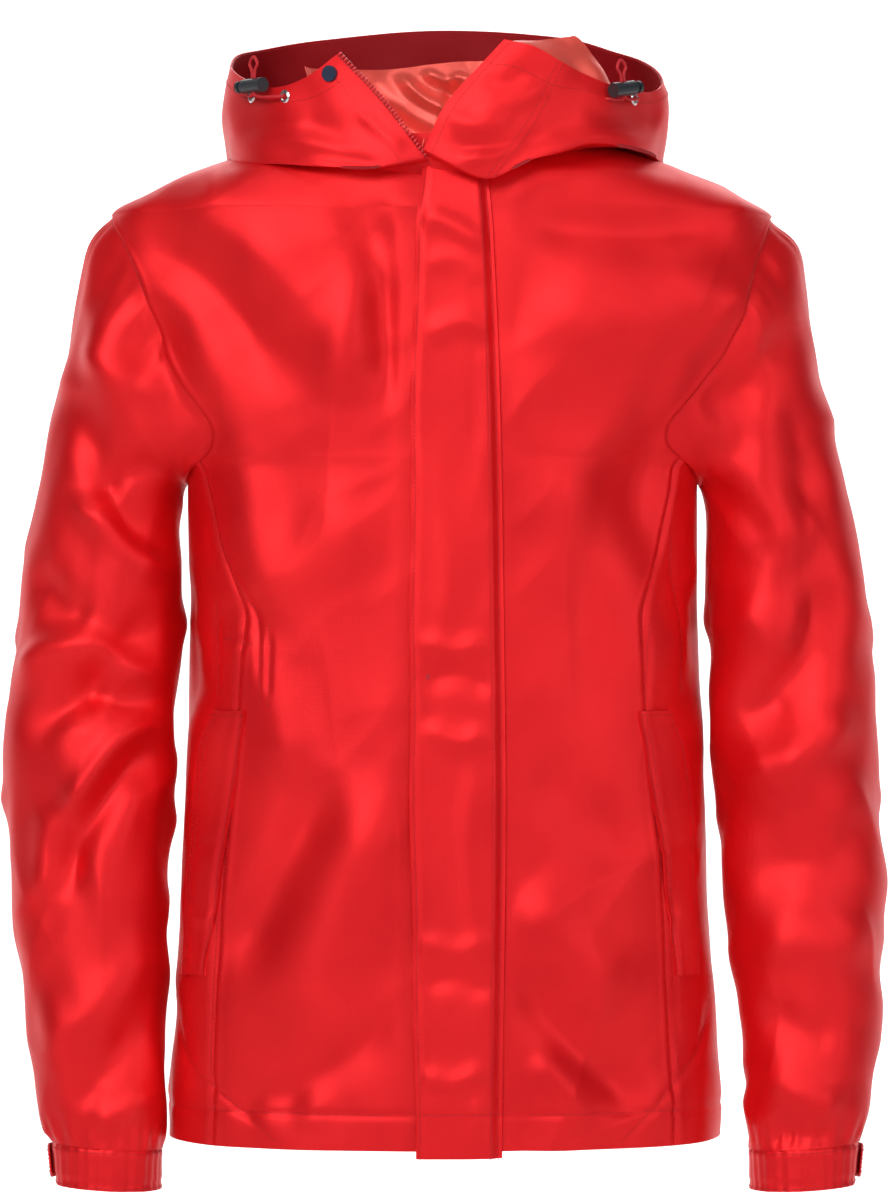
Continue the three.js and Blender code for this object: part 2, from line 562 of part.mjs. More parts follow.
const zipEnd = new THREE.Group();
zipEnd.position.copy(zipPoint(0, HEM_Z + 6, 0));
zipEnd.rotation.x = zipFrame.rotation.x;
jacket.add(zipEnd);
place('zip_box', box(6, 3.4, 9, 3.3, 1.2, -4.9), TOOTH_RED, zipEnd);
place('zip_pin', box(2.6, 3.4, 9, -1.9, 1.2, -4.9), TOOTH_RED, zipEnd);

// ---------------------------------------------------------------- storm flap and its patches
const FLAP_TOP = -26;
const flapRows = [HEM_Z + 1, -560, -400, -240, SLIDER_REST, -60, -42, FLAP_TOP];
const flapColumns = [FLAP_RIGHT, -8, 8, 26, 34, FLAP_LEFT];
const flapLift = (x) => mix(FLAP_CLEAR, SHELL + GAP, THREE.MathUtils.smoothstep(x, 26, FLAP_LEFT - 5));
const onFront = (x, z, lift) => onTorso(frontAngle(x, z), z, lift);
place('storm_flap', sheet(flapColumns.length - 1, flapRows.length - 1, (s, t, face) => {
  const x = flapColumns[Math.round(s * (flapColumns.length - 1))];
  const z = flapRows[Math.round(t * (flapRows.length - 1))];
  return onFront(x, z, flapLift(x) + (face ? FLAP_THICK : 0));
}), SHELL_RED);
const PATCH_LENGTH = 60;
const PATCH_MIDDLES = [-150, -350, -565];
PATCH_MIDDLES.forEach((middle, k) => {
  const strip = (inner, outer) => sheet(1, 1, (s, t, face) =>
    onFront(mix(-20, -9.5, s), middle + mix(-PATCH_LENGTH / 2, PATCH_LENGTH / 2, t), face ? outer : inner));
  place(`flap_hook_patch_${k + 1}`, strip(FLAP_CLEAR - 1.4, FLAP_CLEAR - 0.3), TAPE_RED);
  place(`flap_loop_patch_${k + 1}`, strip(SHELL + 0.3, SHELL + 1.1), TAPE_RED);
});

// ---------------------------------------------------------------- pockets
const WELT_TOP = -401;
const WELT_LOW = -590;
for (const [name, side] of SIDES) {
  place(`pocket_welt_${name}`, sheet(4, 8, (s, t, face) => {
    const z = mix(WELT_LOW, WELT_TOP, t);
    const inner = mix(163, 142, t);
    const outer = mix(184, 171, t ** 2);
    const angle = mix(frontAngle(side * inner, z), frontAngle(side * outer, z), s);
    return onTorso(angle, z, SHELL + (face ? 2.6 : 0.8));
  }), SHELL_RED);
  place(`pocket_bag_${name}`, sheet(6, 6, (s, t, face) => {
    const z = mix(-640, -420, t);
    const angle = mix(frontAngle(side * 60, z), frontAngle(side * 150, z), s);
    return onTorso(angle, z, face ? -2.8 : -3.8);
  }), LINING_RED);
}

// ---------------------------------------------------------------- hood hardware
// A frame on the hood's wall: its -Y points outwards and its Z up the wall.
function wallFrame(u, v, lift) {
  const group = new THREE.Group();
  const here = onHood(u, v, lift);
  const out = onHood(u, v, 1).sub(onHood(u, v, 0)).normalize();
  const up = onHood(u, v + 0.01, 0).sub(onHood(u, v - 0.01, 0)).normalize();
  up.addScaledVector(out, -up.dot(out)).normalize();
  const x = new THREE.Vector3().crossVectors(out, up).negate().normalize();
  const z = new THREE.Vector3().crossVectors(x, out.clone().negate());
  group.quaternion.setFromRotationMatrix(new THREE.Matrix4().makeBasis(x, out.clone().negate(), z));
  group.position.copy(here);
  jacket.add(group);
  return group;
}
const wallAngle = (side, degrees) => (-90 + side * degrees) * DEG;

const eyeletProfile = [[EYELET_HOLE, 0], [EYELET_RADIUS, 0], [EYELET_RADIUS, 0.5], [EYELET_RADIUS - 1.2, 1.3],
  [EYELET_HOLE + 0.4, 1.3], [EYELET_HOLE, 0.8], [EYELET_HOLE, 0]];
// for each side: where its eyelets and its lock sit on the wall, and the lock's tilt
const HOOD_ENDS = {
  right: { eyelets: [42.5, 57], eyeletV: 0.8, lock: 52, lockV: 0.92, tilt: 6 },
  left: { eyelets: [43.5, 57], eyeletV: 0.78, lock: 48, lockV: 0.88, tilt: 14 },
};
const STUD_ANGLE = 27.5;
const studFrame = wallFrame(wallAngle(-1, STUD_ANGLE), 0.93, SHELL + 1.0);
place('stud_cap', alongY(STUD_RADIUS, 2.4, -1.2, 24), STUD_BLUE, studFrame);
const mateFrame = new THREE.Group();
mateFrame.position.copy(onFront(-12, -50, FLAP_CLEAR - 0.5));
jacket.add(mateFrame);
place('stud_socket', alongY(4.6, 1.3, 0.65, 24), STUD_BLUE, mateFrame);

for (const [name, side] of SIDES) {
  const ends = HOOD_ENDS[name];
  const holes = ends.eyelets.map((degrees, k) => {
    const frame = wallFrame(wallAngle(side, degrees), ends.eyeletV, SHELL + 0.5);
    const ring = new THREE.LatheGeometry(eyeletProfile.map((p) => new THREE.Vector2(...p)), 12);
    place(`hood_eyelet_${name}_${k + 1}`, ring.rotateX(Math.PI), EYELET_METAL, frame);
    frame.updateMatrix();
    return (y) => new THREE.Vector3(0, y, 0).applyMatrix4(frame.matrix);
  });
  const lockSeat = wallFrame(wallAngle(side, ends.lock), ends.lockV, SHELL + LOCK_RADIUS + LOCK_STANDOFF);
  const lock = new THREE.Group();
  lock.rotation.y = -side * ends.tilt * DEG;
  lockSeat.add(lock);
  lockSeat.updateMatrixWorld(true);
  const lockPlace = new THREE.Matrix4().multiplyMatrices(lockSeat.matrix, lock.matrix);

  // strands through the lock
  const strand = CORD_DIAMETER / 2 + 0.6;
  const slot = { x: 2 * (strand + CORD_DIAMETER / 2 + 0.4), y: CORD_DIAMETER + 1.0 };
  const bore = PLUNGER_RADIUS + 0.3;
  const floor = -LOCK_LENGTH / 2 + 1.5;
  const springLength = PLUNGER_TRAVEL + 2.2;
  const innerEnd = floor + springLength;
  const barrel = solid(alongX(LOCK_RADIUS, LOCK_LENGTH, 0))
    .subtract(solid(alongX(bore, LOCK_LENGTH, floor + LOCK_LENGTH / 2)))
    .subtract(solid(box(slot.x, slot.y, 4 * LOCK_RADIUS)));
  const turnOut = side > 0 ? new THREE.Matrix4() : new THREE.Matrix4().makeRotationZ(Math.PI);
  place(`cord_lock_body_${name}`, carved(barrel).applyMatrix4(turnOut), BLACK_PLASTIC, lock);
  const stickOut = LOCK_LENGTH / 2 + 5;
  const stem = solid(alongX(PLUNGER_RADIUS, stickOut - innerEnd, (stickOut + innerEnd) / 2))
    .add(solid(alongX(PLUNGER_RADIUS + 1.1, 3, stickOut)))
    .subtract(solid(box(slot.x + PLUNGER_TRAVEL, slot.y, 4 * LOCK_RADIUS, PLUNGER_TRAVEL / 2)));
  place(`cord_lock_plunger_${name}`, carved(stem).applyMatrix4(turnOut), BLACK_PLASTIC, lock);
  const coil = [[1.5, 0.3], [2.4, 0.3], [2.4, springLength - 0.3], [1.5, springLength - 0.3], [1.5, 0.3]];
  const spring = new THREE.LatheGeometry(coil.map((p) => new THREE.Vector2(...p)), 12)
    .rotateZ(-Math.PI / 2).translate(floor, 0, 0);
  place(`cord_lock_spring_${name}`, spring.applyMatrix4(turnOut), SPRING_STEEL, lock);

  // The cord comes out of one eyelet, through the lock, round a loop and back into the other.
  const inLock = (x, z) => new THREE.Vector3(x, 0, z).applyMatrix4(lockPlace);
  const [nearHole, farHole] = [holes[0], holes[1]];
  const route = [nearHole(0.2), nearHole(-3.4), inLock(-side * strand, -LOCK_RADIUS - 1.5),
    inLock(-side * strand, 0), inLock(-side * strand, LOCK_RADIUS + 5), inLock(-side * 4.6, 15.5),
    inLock(0, 20.5), inLock(side * 4.6, 15.5), inLock(side * strand, LOCK_RADIUS + 5),
    inLock(side * strand, 0),
    inLock(side * strand, -LOCK_RADIUS - 1.5), farHole(-3.4), farHole(0.2)];
  const section = new THREE.Shape();
  section.absarc(0, 0, CORD_DIAMETER / 2, 0, 2 * Math.PI, false);
  const cord = new THREE.ExtrudeGeometry(section, {
    steps: 26, curveSegments: 4, bevelEnabled: false,
    extrudePath: new THREE.CatmullRomCurve3(route, false, 'centripetal'),
  });
  place(`hood_drawcord_${name}`, cord, CORD_RED);
}

export default jacket;
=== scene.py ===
# %% [markdown]
# # A hardshell jacket
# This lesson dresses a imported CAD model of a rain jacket. The CAD model fixes the sizes, the joints and
# the place of every piece. Here each cloth piece gets a fine mesh with folds, seams and stitches, and each
# finish gets a procedural material. Lengths in the pattern are millimetres, as a pattern cutter drafts
# them. They become metres when a mesh is made.

# %% Load the frame
import math
import bpy
import numpy as np
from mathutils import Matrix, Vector


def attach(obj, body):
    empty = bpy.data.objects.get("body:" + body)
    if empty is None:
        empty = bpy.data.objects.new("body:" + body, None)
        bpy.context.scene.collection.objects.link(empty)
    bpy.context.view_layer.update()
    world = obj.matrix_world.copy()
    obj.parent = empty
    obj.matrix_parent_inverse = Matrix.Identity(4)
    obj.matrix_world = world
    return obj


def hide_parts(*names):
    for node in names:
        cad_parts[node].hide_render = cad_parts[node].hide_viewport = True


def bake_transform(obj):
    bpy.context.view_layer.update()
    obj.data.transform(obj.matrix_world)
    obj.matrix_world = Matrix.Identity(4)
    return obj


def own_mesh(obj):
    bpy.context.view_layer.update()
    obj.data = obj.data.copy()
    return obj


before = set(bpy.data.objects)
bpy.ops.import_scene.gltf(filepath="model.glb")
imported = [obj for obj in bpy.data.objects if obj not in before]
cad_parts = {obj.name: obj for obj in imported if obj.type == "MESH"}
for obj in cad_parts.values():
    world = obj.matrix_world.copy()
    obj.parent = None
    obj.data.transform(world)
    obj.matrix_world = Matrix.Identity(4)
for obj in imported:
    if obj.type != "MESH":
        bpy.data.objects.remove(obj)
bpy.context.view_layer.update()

scene = bpy.context.scene

# %% [markdown]
# ## Camera, floor and light
# The jacket is looked at from straight in front, level with its middle, from about three and a half
# metres, so its shape is hardly distorted. A long lens does that. The floor and the backdrop are one
# pale curved sheet, as in a product studio, and large lights keep the shine of the satin soft.

# %% Camera
FRAME_HEIGHT = 0.864              # metres of the jacket's plane that fill the picture from top to bottom
CAMERA_DISTANCE = 3.46
CAMERA_AT = (0.0014, -0.10 - CAMERA_DISTANCE, -0.324)
lens = bpy.data.cameras.new("studio_camera")
lens.sensor_fit = "VERTICAL"
lens.angle = 2 * math.atan(FRAME_HEIGHT / 2 / CAMERA_DISTANCE)
camera = bpy.data.objects.new("studio_camera", lens)
camera.location = CAMERA_AT
camera.rotation_euler = (math.pi / 2, 0, 0)
scene.collection.objects.link(camera)
scene.camera = camera
scene.view_settings.view_transform = "Standard"
print("lens", round(lens.lens, 1), "mm")


# %% [markdown]
# Two small helpers keep the material cells short. One starts an empty node material, the other adds a
# node and sets its inputs by name, which reads better than long chains of socket numbers.

# %% Helpers for materials
def new_material(name):
    """An empty node material: its tree, and its Principled shader."""
    material = bpy.data.materials.new(name)
    material.use_nodes = True
    tree = material.node_tree
    return material, tree, tree.nodes["Principled BSDF"]


def node(tree, kind, **settings):
    """A node with its settings, and its inputs by name where the name is an input."""
    made = tree.nodes.new(kind)
    for key, value in settings.items():
        if key in made.inputs:
            made.inputs[key].default_value = value
        else:
            setattr(made, key, value)
    return made


# %% [markdown]
# The backdrop glows a little and the floor near the jacket does not, so folds keep their dark undersides.
# Area lights are used because a small lamp would put hard spots on satin. The widest one is the key.

# %% Floor and lights
def studio():
    """A pale floor that curves up into a wall before and behind the jacket, and soft lights."""
    floor_z, wall_y, bend = -1.05, 5.4, 1.6
    profile = [(-wall_y, 5.0), (-wall_y, floor_z + bend), (-wall_y + 0.5 * bend, floor_z + 0.13 * bend),
               (-wall_y + bend, floor_z), (wall_y - bend, floor_z)]
    for step in range(1, 13):
        turn = math.pi / 2 * step / 12
        profile.append((wall_y - bend + bend * math.sin(turn), floor_z + bend * (1 - math.cos(turn))))
    profile.append((wall_y, 5.0))
    points = [(side * 9.0, y, z) for y, z in profile for side in (-1, 1)]
    faces = [(2 * k, 2 * k + 1, 2 * k + 3, 2 * k + 2) for k in range(len(profile) - 1)]
    mesh = bpy.data.meshes.new("studio_floor")
    mesh.from_pydata(points, [], faces)
    mesh.shade_smooth()
    floor = bpy.data.objects.new("studio_floor", mesh)
    material, tree, shader = new_material("pale_paper")
    shader.inputs["Base Color"].default_value = (0.93, 0.93, 0.93, 1)
    shader.inputs["Roughness"].default_value = 0.9
    shader.inputs["Emission Color"].default_value = (1, 1, 1, 1)
    # only the backdrop glows: a glowing floor in front would light the folds from below and flatten them
    place = node(tree, "ShaderNodeTexCoord")
    axes = node(tree, "ShaderNodeSeparateXYZ")
    glow = node(tree, "ShaderNodeMapRange")
    glow.inputs["From Min"].default_value = 0.4
    glow.inputs["From Max"].default_value = 1.5
    glow.inputs["To Min"].default_value = 0.02
    glow.inputs["To Max"].default_value = 0.80
    tree.links.new(place.outputs["Object"], axes.inputs[0])
    tree.links.new(axes.outputs["Y"], glow.inputs["Value"])
    tree.links.new(glow.outputs[0], shader.inputs["Emission Strength"])
    mesh.materials.append(material)
    scene.collection.objects.link(floor)
    world = bpy.data.worlds.new("studio_air")
    world.use_nodes = True
    world.node_tree.nodes["Background"].inputs[0].default_value = (1, 1, 1, 1)
    world.node_tree.nodes["Background"].inputs[1].default_value = 0.09
    scene.world = world
    for name, place, aim, size, power in [
            ("window_right_of_wearer", (-1.1, -2.9, 1.5), (0, 0, -0.3), (1.4, 1.4), 66),
            ("window_left_of_wearer", (2.2, -2.2, 0.5), (0, 0, -0.35), (0.6, 1.4), 16),
            ("top_light", (0.0, -0.6, 2.4), (0, -0.1, -0.2), (2.0, 0.8), 14),
            ("back_light", (0.3, 1.9, 1.2), (0, 0, -0.1), (2.0, 1.0), 10)]:
        light = bpy.data.lights.new(name, "AREA")
        light.shape = "RECTANGLE"
        light.size, light.size_y = size
        light.energy = power
        lamp = bpy.data.objects.new(name, light)
        lamp.location = place
        lamp.rotation_euler = (Vector(aim) - Vector(place)).to_track_quat("-Z", "Y").to_euler()
        scene.collection.objects.link(lamp)
    return floor


studio()
print("floor and", len(bpy.data.lights), "lights")

# %% [markdown]
# ## Finishes
# The shell is a fine nylon with a satin face: its yarns are far thinner than a millimetre, so the weave
# shows as a faint grain and slubs along both directions. Part of its shine is coloured, as a metal's is,
# so its highlights stay red. That gives the satin its bright ridges and dark valleys. The pattern
# follows each piece's own UV map, which holds metres of cloth.


# %% Cloth material
def cloth_finish(name, color, dark, roughness, grain, sheen, coat=0.0, pitch=0.0006, depth=0.00010,
                 metallic=0.0):
    """Woven cloth: two crossed sets of yarns, slubs along them, and a slow change of colour."""
    material, tree, shader = new_material(name)
    link = tree.links.new
    uv = node(tree, "ShaderNodeUVMap", uv_map="cloth")
    place = node(tree, "ShaderNodeTexCoord")
    slow = node(tree, "ShaderNodeTexNoise", Scale=14.0, Detail=2.0)
    link(place.outputs["Object"], slow.inputs["Vector"])
    slubs = []
    for stretch in ((1.0, 0.04, 1.0), (0.04, 1.0, 1.0)):
        squeeze = node(tree, "ShaderNodeMapping", vector_type="POINT")
        squeeze.inputs["Scale"].default_value = stretch
        link(uv.outputs[0], squeeze.inputs["Vector"])
        slub = node(tree, "ShaderNodeTexNoise", Scale=900.0, Detail=1.0)
        link(squeeze.outputs[0], slub.inputs["Vector"])
        slubs.append(slub)
    both = node(tree, "ShaderNodeMath", operation="ADD")
    link(slubs[0].outputs["Fac"], both.inputs[0])
    link(slubs[1].outputs["Fac"], both.inputs[1])
    mixed = node(tree, "ShaderNodeMath", operation="MULTIPLY_ADD")
    link(both.outputs[0], mixed.inputs[0])
    mixed.inputs[1].default_value = grain
    link(slow.outputs["Fac"], mixed.inputs[2])
    ramp = node(tree, "ShaderNodeMapRange")
    ramp.inputs["From Min"].default_value = 0.25 + grain
    ramp.inputs["From Max"].default_value = 0.75 + grain
    link(mixed.outputs[0], ramp.inputs["Value"])
    tint = node(tree, "ShaderNodeMix", data_type="RGBA")
    tint.inputs["A"].default_value = (*dark, 1)
    tint.inputs["B"].default_value = (*color, 1)
    link(ramp.outputs[0], tint.inputs["Factor"])
    link(tint.outputs["Result"], shader.inputs["Base Color"])
    yarns = []
    for direction in ("X", "Y"):
        yarn = node(tree, "ShaderNodeTexWave", wave_type="BANDS", bands_direction=direction,
                    Scale=0.314 / pitch, Distortion=0.0)
        link(uv.outputs[0], yarn.inputs["Vector"])
        yarns.append(yarn)
    weave = node(tree, "ShaderNodeMath", operation="MAXIMUM")
    link(yarns[0].outputs["Fac"], weave.inputs[0])
    link(yarns[1].outputs["Fac"], weave.inputs[1])
    relief = node(tree, "ShaderNodeMath", operation="ADD")
    link(weave.outputs[0], relief.inputs[0])
    link(both.outputs[0], relief.inputs[1])
    bump = node(tree, "ShaderNodeBump", Strength=0.5, Distance=depth)
    link(relief.outputs[0], bump.inputs["Height"])
    link(bump.outputs[0], shader.inputs["Normal"])
    gloss = node(tree, "ShaderNodeMapRange")
    gloss.inputs["To Min"].default_value = roughness - 0.04
    gloss.inputs["To Max"].default_value = roughness + 0.05
    link(slow.outputs["Fac"], gloss.inputs["Value"])
    link(gloss.outputs[0], shader.inputs["Roughness"])
    shader.inputs["Metallic"].default_value = metallic
    shader.inputs["Specular IOR Level"].default_value = 0.38
    shader.inputs["Sheen Weight"].default_value = sheen
    shader.inputs["Sheen Roughness"].default_value = 0.4
    shader.inputs["Sheen Tint"].default_value = (1.0, 0.12, 0.10, 1)
    shader.inputs["Coat Weight"].default_value = coat
    shader.inputs["Coat Roughness"].default_value = 0.42
    return material


SHELL_RED = cloth_finish("satin_nylon_red", (0.86, 0.010, 0.014), (0.72, 0.004, 0.009), 0.43, 0.10,
                         0.04, 0.04, metallic=0.52)
# the shell's inside is a darker copy of the shell red: painted shade for the hollow of the hood, its rim
# casing and the insides of sleeves and cuffs
SHADED_INNER_RED = cloth_finish("shell_inside_painted_shade", (0.42, 0.006, 0.012), (0.33, 0.004, 0.008), 0.55, 0.10, 0.1)
LINING = cloth_finish("light_satin_lining", (0.93, 0.13, 0.095), (0.84, 0.085, 0.065), 0.34, 0.14, 0.12, 0.1,
                      metallic=0.4)
TAPE = cloth_finish("matt_woven_tape", (0.52, 0.012, 0.02), (0.40, 0.008, 0.014), 0.7, 0.3, 0.2,
                    0.0, 0.0011, 0.0004)
LABEL = cloth_finish("blank_woven_label", (0.85, 0.12, 0.09), (0.72, 0.08, 0.06), 0.5, 0.25, 0.2)
print("cloth finishes:", len(bpy.data.materials))


# %% [markdown]
# Hard trim is small but it catches the eye: black moulded plastic with a fine grain, a dark blue enamel
# on the press stud, bright nickel on the eyelets. These read Object coordinates, so the grain stays put.

# %% Trim materials
def trim_finish(name, color, worn, roughness, metallic=0.0, scale=900.0, relief=0.00006, coat=0.0):
    """Moulded, plated or enamelled trim with a fine grain and a slight change of tone."""
    material, tree, shader = new_material(name)
    link = tree.links.new
    place = node(tree, "ShaderNodeTexCoord")
    grain = node(tree, "ShaderNodeTexNoise", Scale=scale, Detail=3.0)
    patches = node(tree, "ShaderNodeTexNoise", Scale=scale / 9, Detail=2.0)
    link(place.outputs["Object"], grain.inputs["Vector"])
    link(place.outputs["Object"], patches.inputs["Vector"])
    tint = node(tree, "ShaderNodeMix", data_type="RGBA")
    tint.inputs["A"].default_value = (*color, 1)
    tint.inputs["B"].default_value = (*worn, 1)
    link(patches.outputs["Fac"], tint.inputs["Factor"])
    link(tint.outputs["Result"], shader.inputs["Base Color"])
    gloss = node(tree, "ShaderNodeMapRange")
    gloss.inputs["To Min"].default_value = max(0.05, roughness - 0.08)
    gloss.inputs["To Max"].default_value = roughness + 0.08
    link(patches.outputs["Fac"], gloss.inputs["Value"])
    link(gloss.outputs[0], shader.inputs["Roughness"])
    bump = node(tree, "ShaderNodeBump", Strength=0.4, Distance=relief)
    link(grain.outputs["Fac"], bump.inputs["Height"])
    link(bump.outputs[0], shader.inputs["Normal"])
    shader.inputs["Metallic"].default_value = metallic
    shader.inputs["Coat Weight"].default_value = coat
    return material


BLACK_PLASTIC = trim_finish("black_moulded_plastic", (0.010, 0.012, 0.016), (0.025, 0.028, 0.034), 0.38)
ENAMEL = trim_finish("dark_blue_enamel", (0.016, 0.026, 0.060), (0.030, 0.042, 0.085), 0.25, 0.2, coat=0.4)
NICKEL = trim_finish("bright_nickel", (0.80, 0.77, 0.76), (0.62, 0.58, 0.57), 0.22, 1.0)
STEEL = trim_finish("spring_wire", (0.55, 0.55, 0.57), (0.40, 0.40, 0.42), 0.3, 1.0)
TOOTH_RED = trim_finish("moulded_red_plastic", (0.70, 0.02, 0.03), (0.58, 0.012, 0.02), 0.32)
THREAD = trim_finish("red_thread", (0.50, 0.006, 0.012), (0.42, 0.005, 0.01), 0.55,
                     scale=2500.0, relief=0.0001)
BRAID = trim_finish("braided_red_cord", (0.60, 0.012, 0.02), (0.42, 0.006, 0.012), 0.7,
                    scale=2200.0, relief=0.0004)
print("all finishes:", len(bpy.data.materials))

# %% [markdown]
# ## Free cords
# Each end of the hood's drawcord leaves one eyelet, runs through its cord lock, makes a small loop and
# goes back into the second eyelet. The route is a list of points in the frame's metres, and the cord is
# a round braid of 2.2 mm along the smooth curve through them.

# %% Cord routes
CORD_ROUTES = {
    "right": [(-0.1123, -0.14405, 0.03368), (-0.11473, -0.14671, 0.03368), (-0.1342, -0.13621, 0.03591),
              (-0.13415, -0.13627, 0.04261), (-0.13407, -0.13636, 0.05281), (-0.13225, -0.1387, 0.05807),
              (-0.13504, -0.13512, 0.06312), (-0.13791, -0.13145, 0.05818), (-0.13617, -0.13369, 0.05285),
              (-0.13624, -0.13359, 0.04265), (-0.13629, -0.13353, 0.03595), (-0.13947, -0.12497, 0.03638),
              (-0.13646, -0.12301, 0.03638)],
    "left": [(0.11423, -0.14292, 0.03211), (0.1167, -0.14553, 0.03211), (0.12796, -0.14206, 0.03267),
             (0.12726, -0.14284, 0.03929), (0.12619, -0.14402, 0.04936), (0.12372, -0.14677, 0.05415),
             (0.12624, -0.14397, 0.0598), (0.1298, -0.14002, 0.05558), (0.12844, -0.14153, 0.0499),
             (0.12951, -0.14034, 0.03982), (0.13021, -0.13956, 0.0332), (0.1395, -0.1251, 0.03467),
             (0.13648, -0.12313, 0.03467)],
}
CORD_DIAMETER = 0.0022


def smooth_line(points, per_span=8):
    """The centripetal Catmull-Rom curve through a list of points."""
    points = np.array(points, float)
    padded = np.vstack([2 * points[0] - points[1], points, 2 * points[-1] - points[-2]])
    made = []
    for k in range(1, len(padded) - 2):
        p0, p1, p2, p3 = padded[k - 1:k + 3]
        t1 = np.linalg.norm(p1 - p0) ** 0.5
        t2 = t1 + np.linalg.norm(p2 - p1) ** 0.5
        t3 = t2 + np.linalg.norm(p3 - p2) ** 0.5
        for t in np.linspace(t1, t2, per_span, endpoint=False):
            a1 = p0 * (t1 - t) / t1 + p1 * t / t1
            a2 = p1 * (t2 - t) / (t2 - t1) + p2 * (t - t1) / (t2 - t1)
            a3 = p2 * (t3 - t) / (t3 - t2) + p3 * (t - t2) / (t3 - t2)
            b1 = a1 * (t2 - t) / t2 + a2 * t / t2
            b2 = a2 * (t3 - t) / (t3 - t1) + a3 * (t - t1) / (t3 - t1)
            made.append(b1 * (t2 - t) / (t2 - t1) + b2 * (t - t1) / (t2 - t1))
    made.append(padded[-2])
    return np.array(made)


def tube(name, line, radius, sides, material, twist=0.0):
    """A closed round tube along a line of points in metres, with slightly raised braid strands."""
    tangent = np.gradient(line, axis=0)
    tangent /= np.linalg.norm(tangent, axis=1)[:, None]
    side = np.cross(tangent[0], (0.3, 0.2, 1.0))
    points = []
    along = np.concatenate([[0], np.cumsum(np.linalg.norm(np.diff(line, axis=0), axis=1))])
    for k, here in enumerate(line):
        side = side - tangent[k] * side.dot(tangent[k])
        side /= np.linalg.norm(side)
        up = np.cross(tangent[k], side)
        for j in range(sides):
            turn = 2 * math.pi * j / sides
            swell = 1 + 0.05 * math.cos(4 * turn + twist * along[k])
            points.append(here + radius * swell * (math.cos(turn) * side + math.sin(turn) * up))
    rings = len(line)
    faces = []
    for k in range(rings - 1):
        for j in range(sides):
            n = (j + 1) % sides
            faces.append((k * sides + j, k * sides + n, (k + 1) * sides + n, (k + 1) * sides + j))
    faces.append(tuple(reversed(range(sides))))
    faces.append(tuple((rings - 1) * sides + j for j in range(sides)))
    mesh = bpy.data.meshes.new(name)
    mesh.from_pydata([tuple(p) for p in points], [], faces)
    mesh.shade_smooth()
    mesh.materials.append(material)
    made = bpy.data.objects.new(name, mesh)
    scene.collection.objects.link(made)
    return made


def spring_coil(side):
    """The lock's spring, copied from its CAD shape in spring steel, riding on the lock."""
    node_name = f"cord_lock_spring_{side}"
    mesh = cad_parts[node_name].data.copy()
    mesh.transform(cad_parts[node_name].matrix_world)
    mesh.materials.clear()
    mesh.materials.append(STEEL)
    coil = bpy.data.objects.new(f"spring_coil_{side}", mesh)
    scene.collection.objects.link(coil)
    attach(coil, f"cord_lock_{side}")
    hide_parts(node_name)
    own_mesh(coil)
    return coil


def drawcord(side):
    """One end of the drawcord with its lock; the cord goes back into the hood."""
    line = smooth_line(CORD_ROUTES[side])
    cord = tube(f"drawcord_{side}", line, CORD_DIAMETER / 2, 12, BRAID, 2600.0)
    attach(cord, "root")
    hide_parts(f"hood_drawcord_{side}")
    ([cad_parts[f"cord_lock_{part}_{side}"] for part in ("body", "plunger")]
            + [spring_coil(side)])


for side in CORD_ROUTES:
    drawcord(side)

# %% [markdown]
# ## Pattern drafting helpers
# A garment has no straight sections. Its body is a stack of soft ovals, so every panel is cut from one
# surface and the seams meet by themselves. `follow` draws a smooth curve through a few measures. `cloth`
# turns a grid of points into a closed sheet of cloth with a real thickness, and writes the UV map that
# the weave follows.

# %% Curves and grids
NAPE_BACK = 56.0                  # the frame's origin lies this far behind the body's middle


def follow(rows, at):
    """A smooth curve through rows of (place, value) that never overshoots them."""
    knots, values = np.array(rows, float).T
    step = np.diff(knots)
    rise = np.diff(values) / step
    slope = np.zeros(len(knots))
    same = rise[:-1] * rise[1:] > 0
    both = rise[:-1] * rise[1:]
    total = rise[:-1] + rise[1:]
    slope[1:-1][same] = 2 * both[same] / total[same]
    at = np.clip(np.asarray(at, float), knots[0], knots[-1])
    k = np.clip(np.searchsorted(knots, at, side="right") - 1, 0, len(step) - 1)
    t = (at - knots[k]) / step[k]
    return ((2 * t**3 - 3 * t**2 + 1) * values[k] + (t**3 - 2 * t**2 + t) * step[k] * slope[k]
            + (3 * t**2 - 2 * t**3) * values[k + 1] + (t**3 - t**2) * step[k] * slope[k + 1])


def spline(points, at):
    """Catmull-Rom curve through an array of points, at places from 0 to the last index."""
    points = np.asarray(points, float)
    last = len(points) - 1
    at = np.clip(np.asarray(at, float), 0, last)
    k = np.minimum(at.astype(int), last - 1)
    t = (at - k).reshape(-1, *([1] * (points.ndim - 1)))
    p1, p2 = points[k], points[k + 1]
    p0 = np.where(k.reshape(t.shape) > 0, points[np.maximum(k - 1, 0)], 2 * p1 - p2)
    p3 = np.where(k.reshape(t.shape) < last - 1, points[np.minimum(k + 2, last)], 2 * p2 - p1)
    return 0.5 * (2 * p1 + (p2 - p0) * t + (2 * p0 - 5 * p1 + 4 * p2 - p3) * t**2
                  + (3 * p1 - p0 - 3 * p2 + p3) * t**3)


def normals_of(grid, wrap=False):
    """Unit normals of a grid of points, along rows crossed with columns."""
    if wrap:
        wide = np.concatenate([grid[:, -1:], grid, grid[:, :1]], axis=1)
        across = np.gradient(wide, axis=1)[:, 1:-1]
    else:
        across = np.gradient(grid, axis=1)
    along = np.gradient(grid, axis=0)
    normal = np.cross(across, along)
    return normal / np.maximum(np.linalg.norm(normal, axis=2, keepdims=True), 1e-9)


def smoothstep(low, high, x):
    t = np.clip((x - low) / (high - low), 0, 1)
    return t * t * (3 - 2 * t)


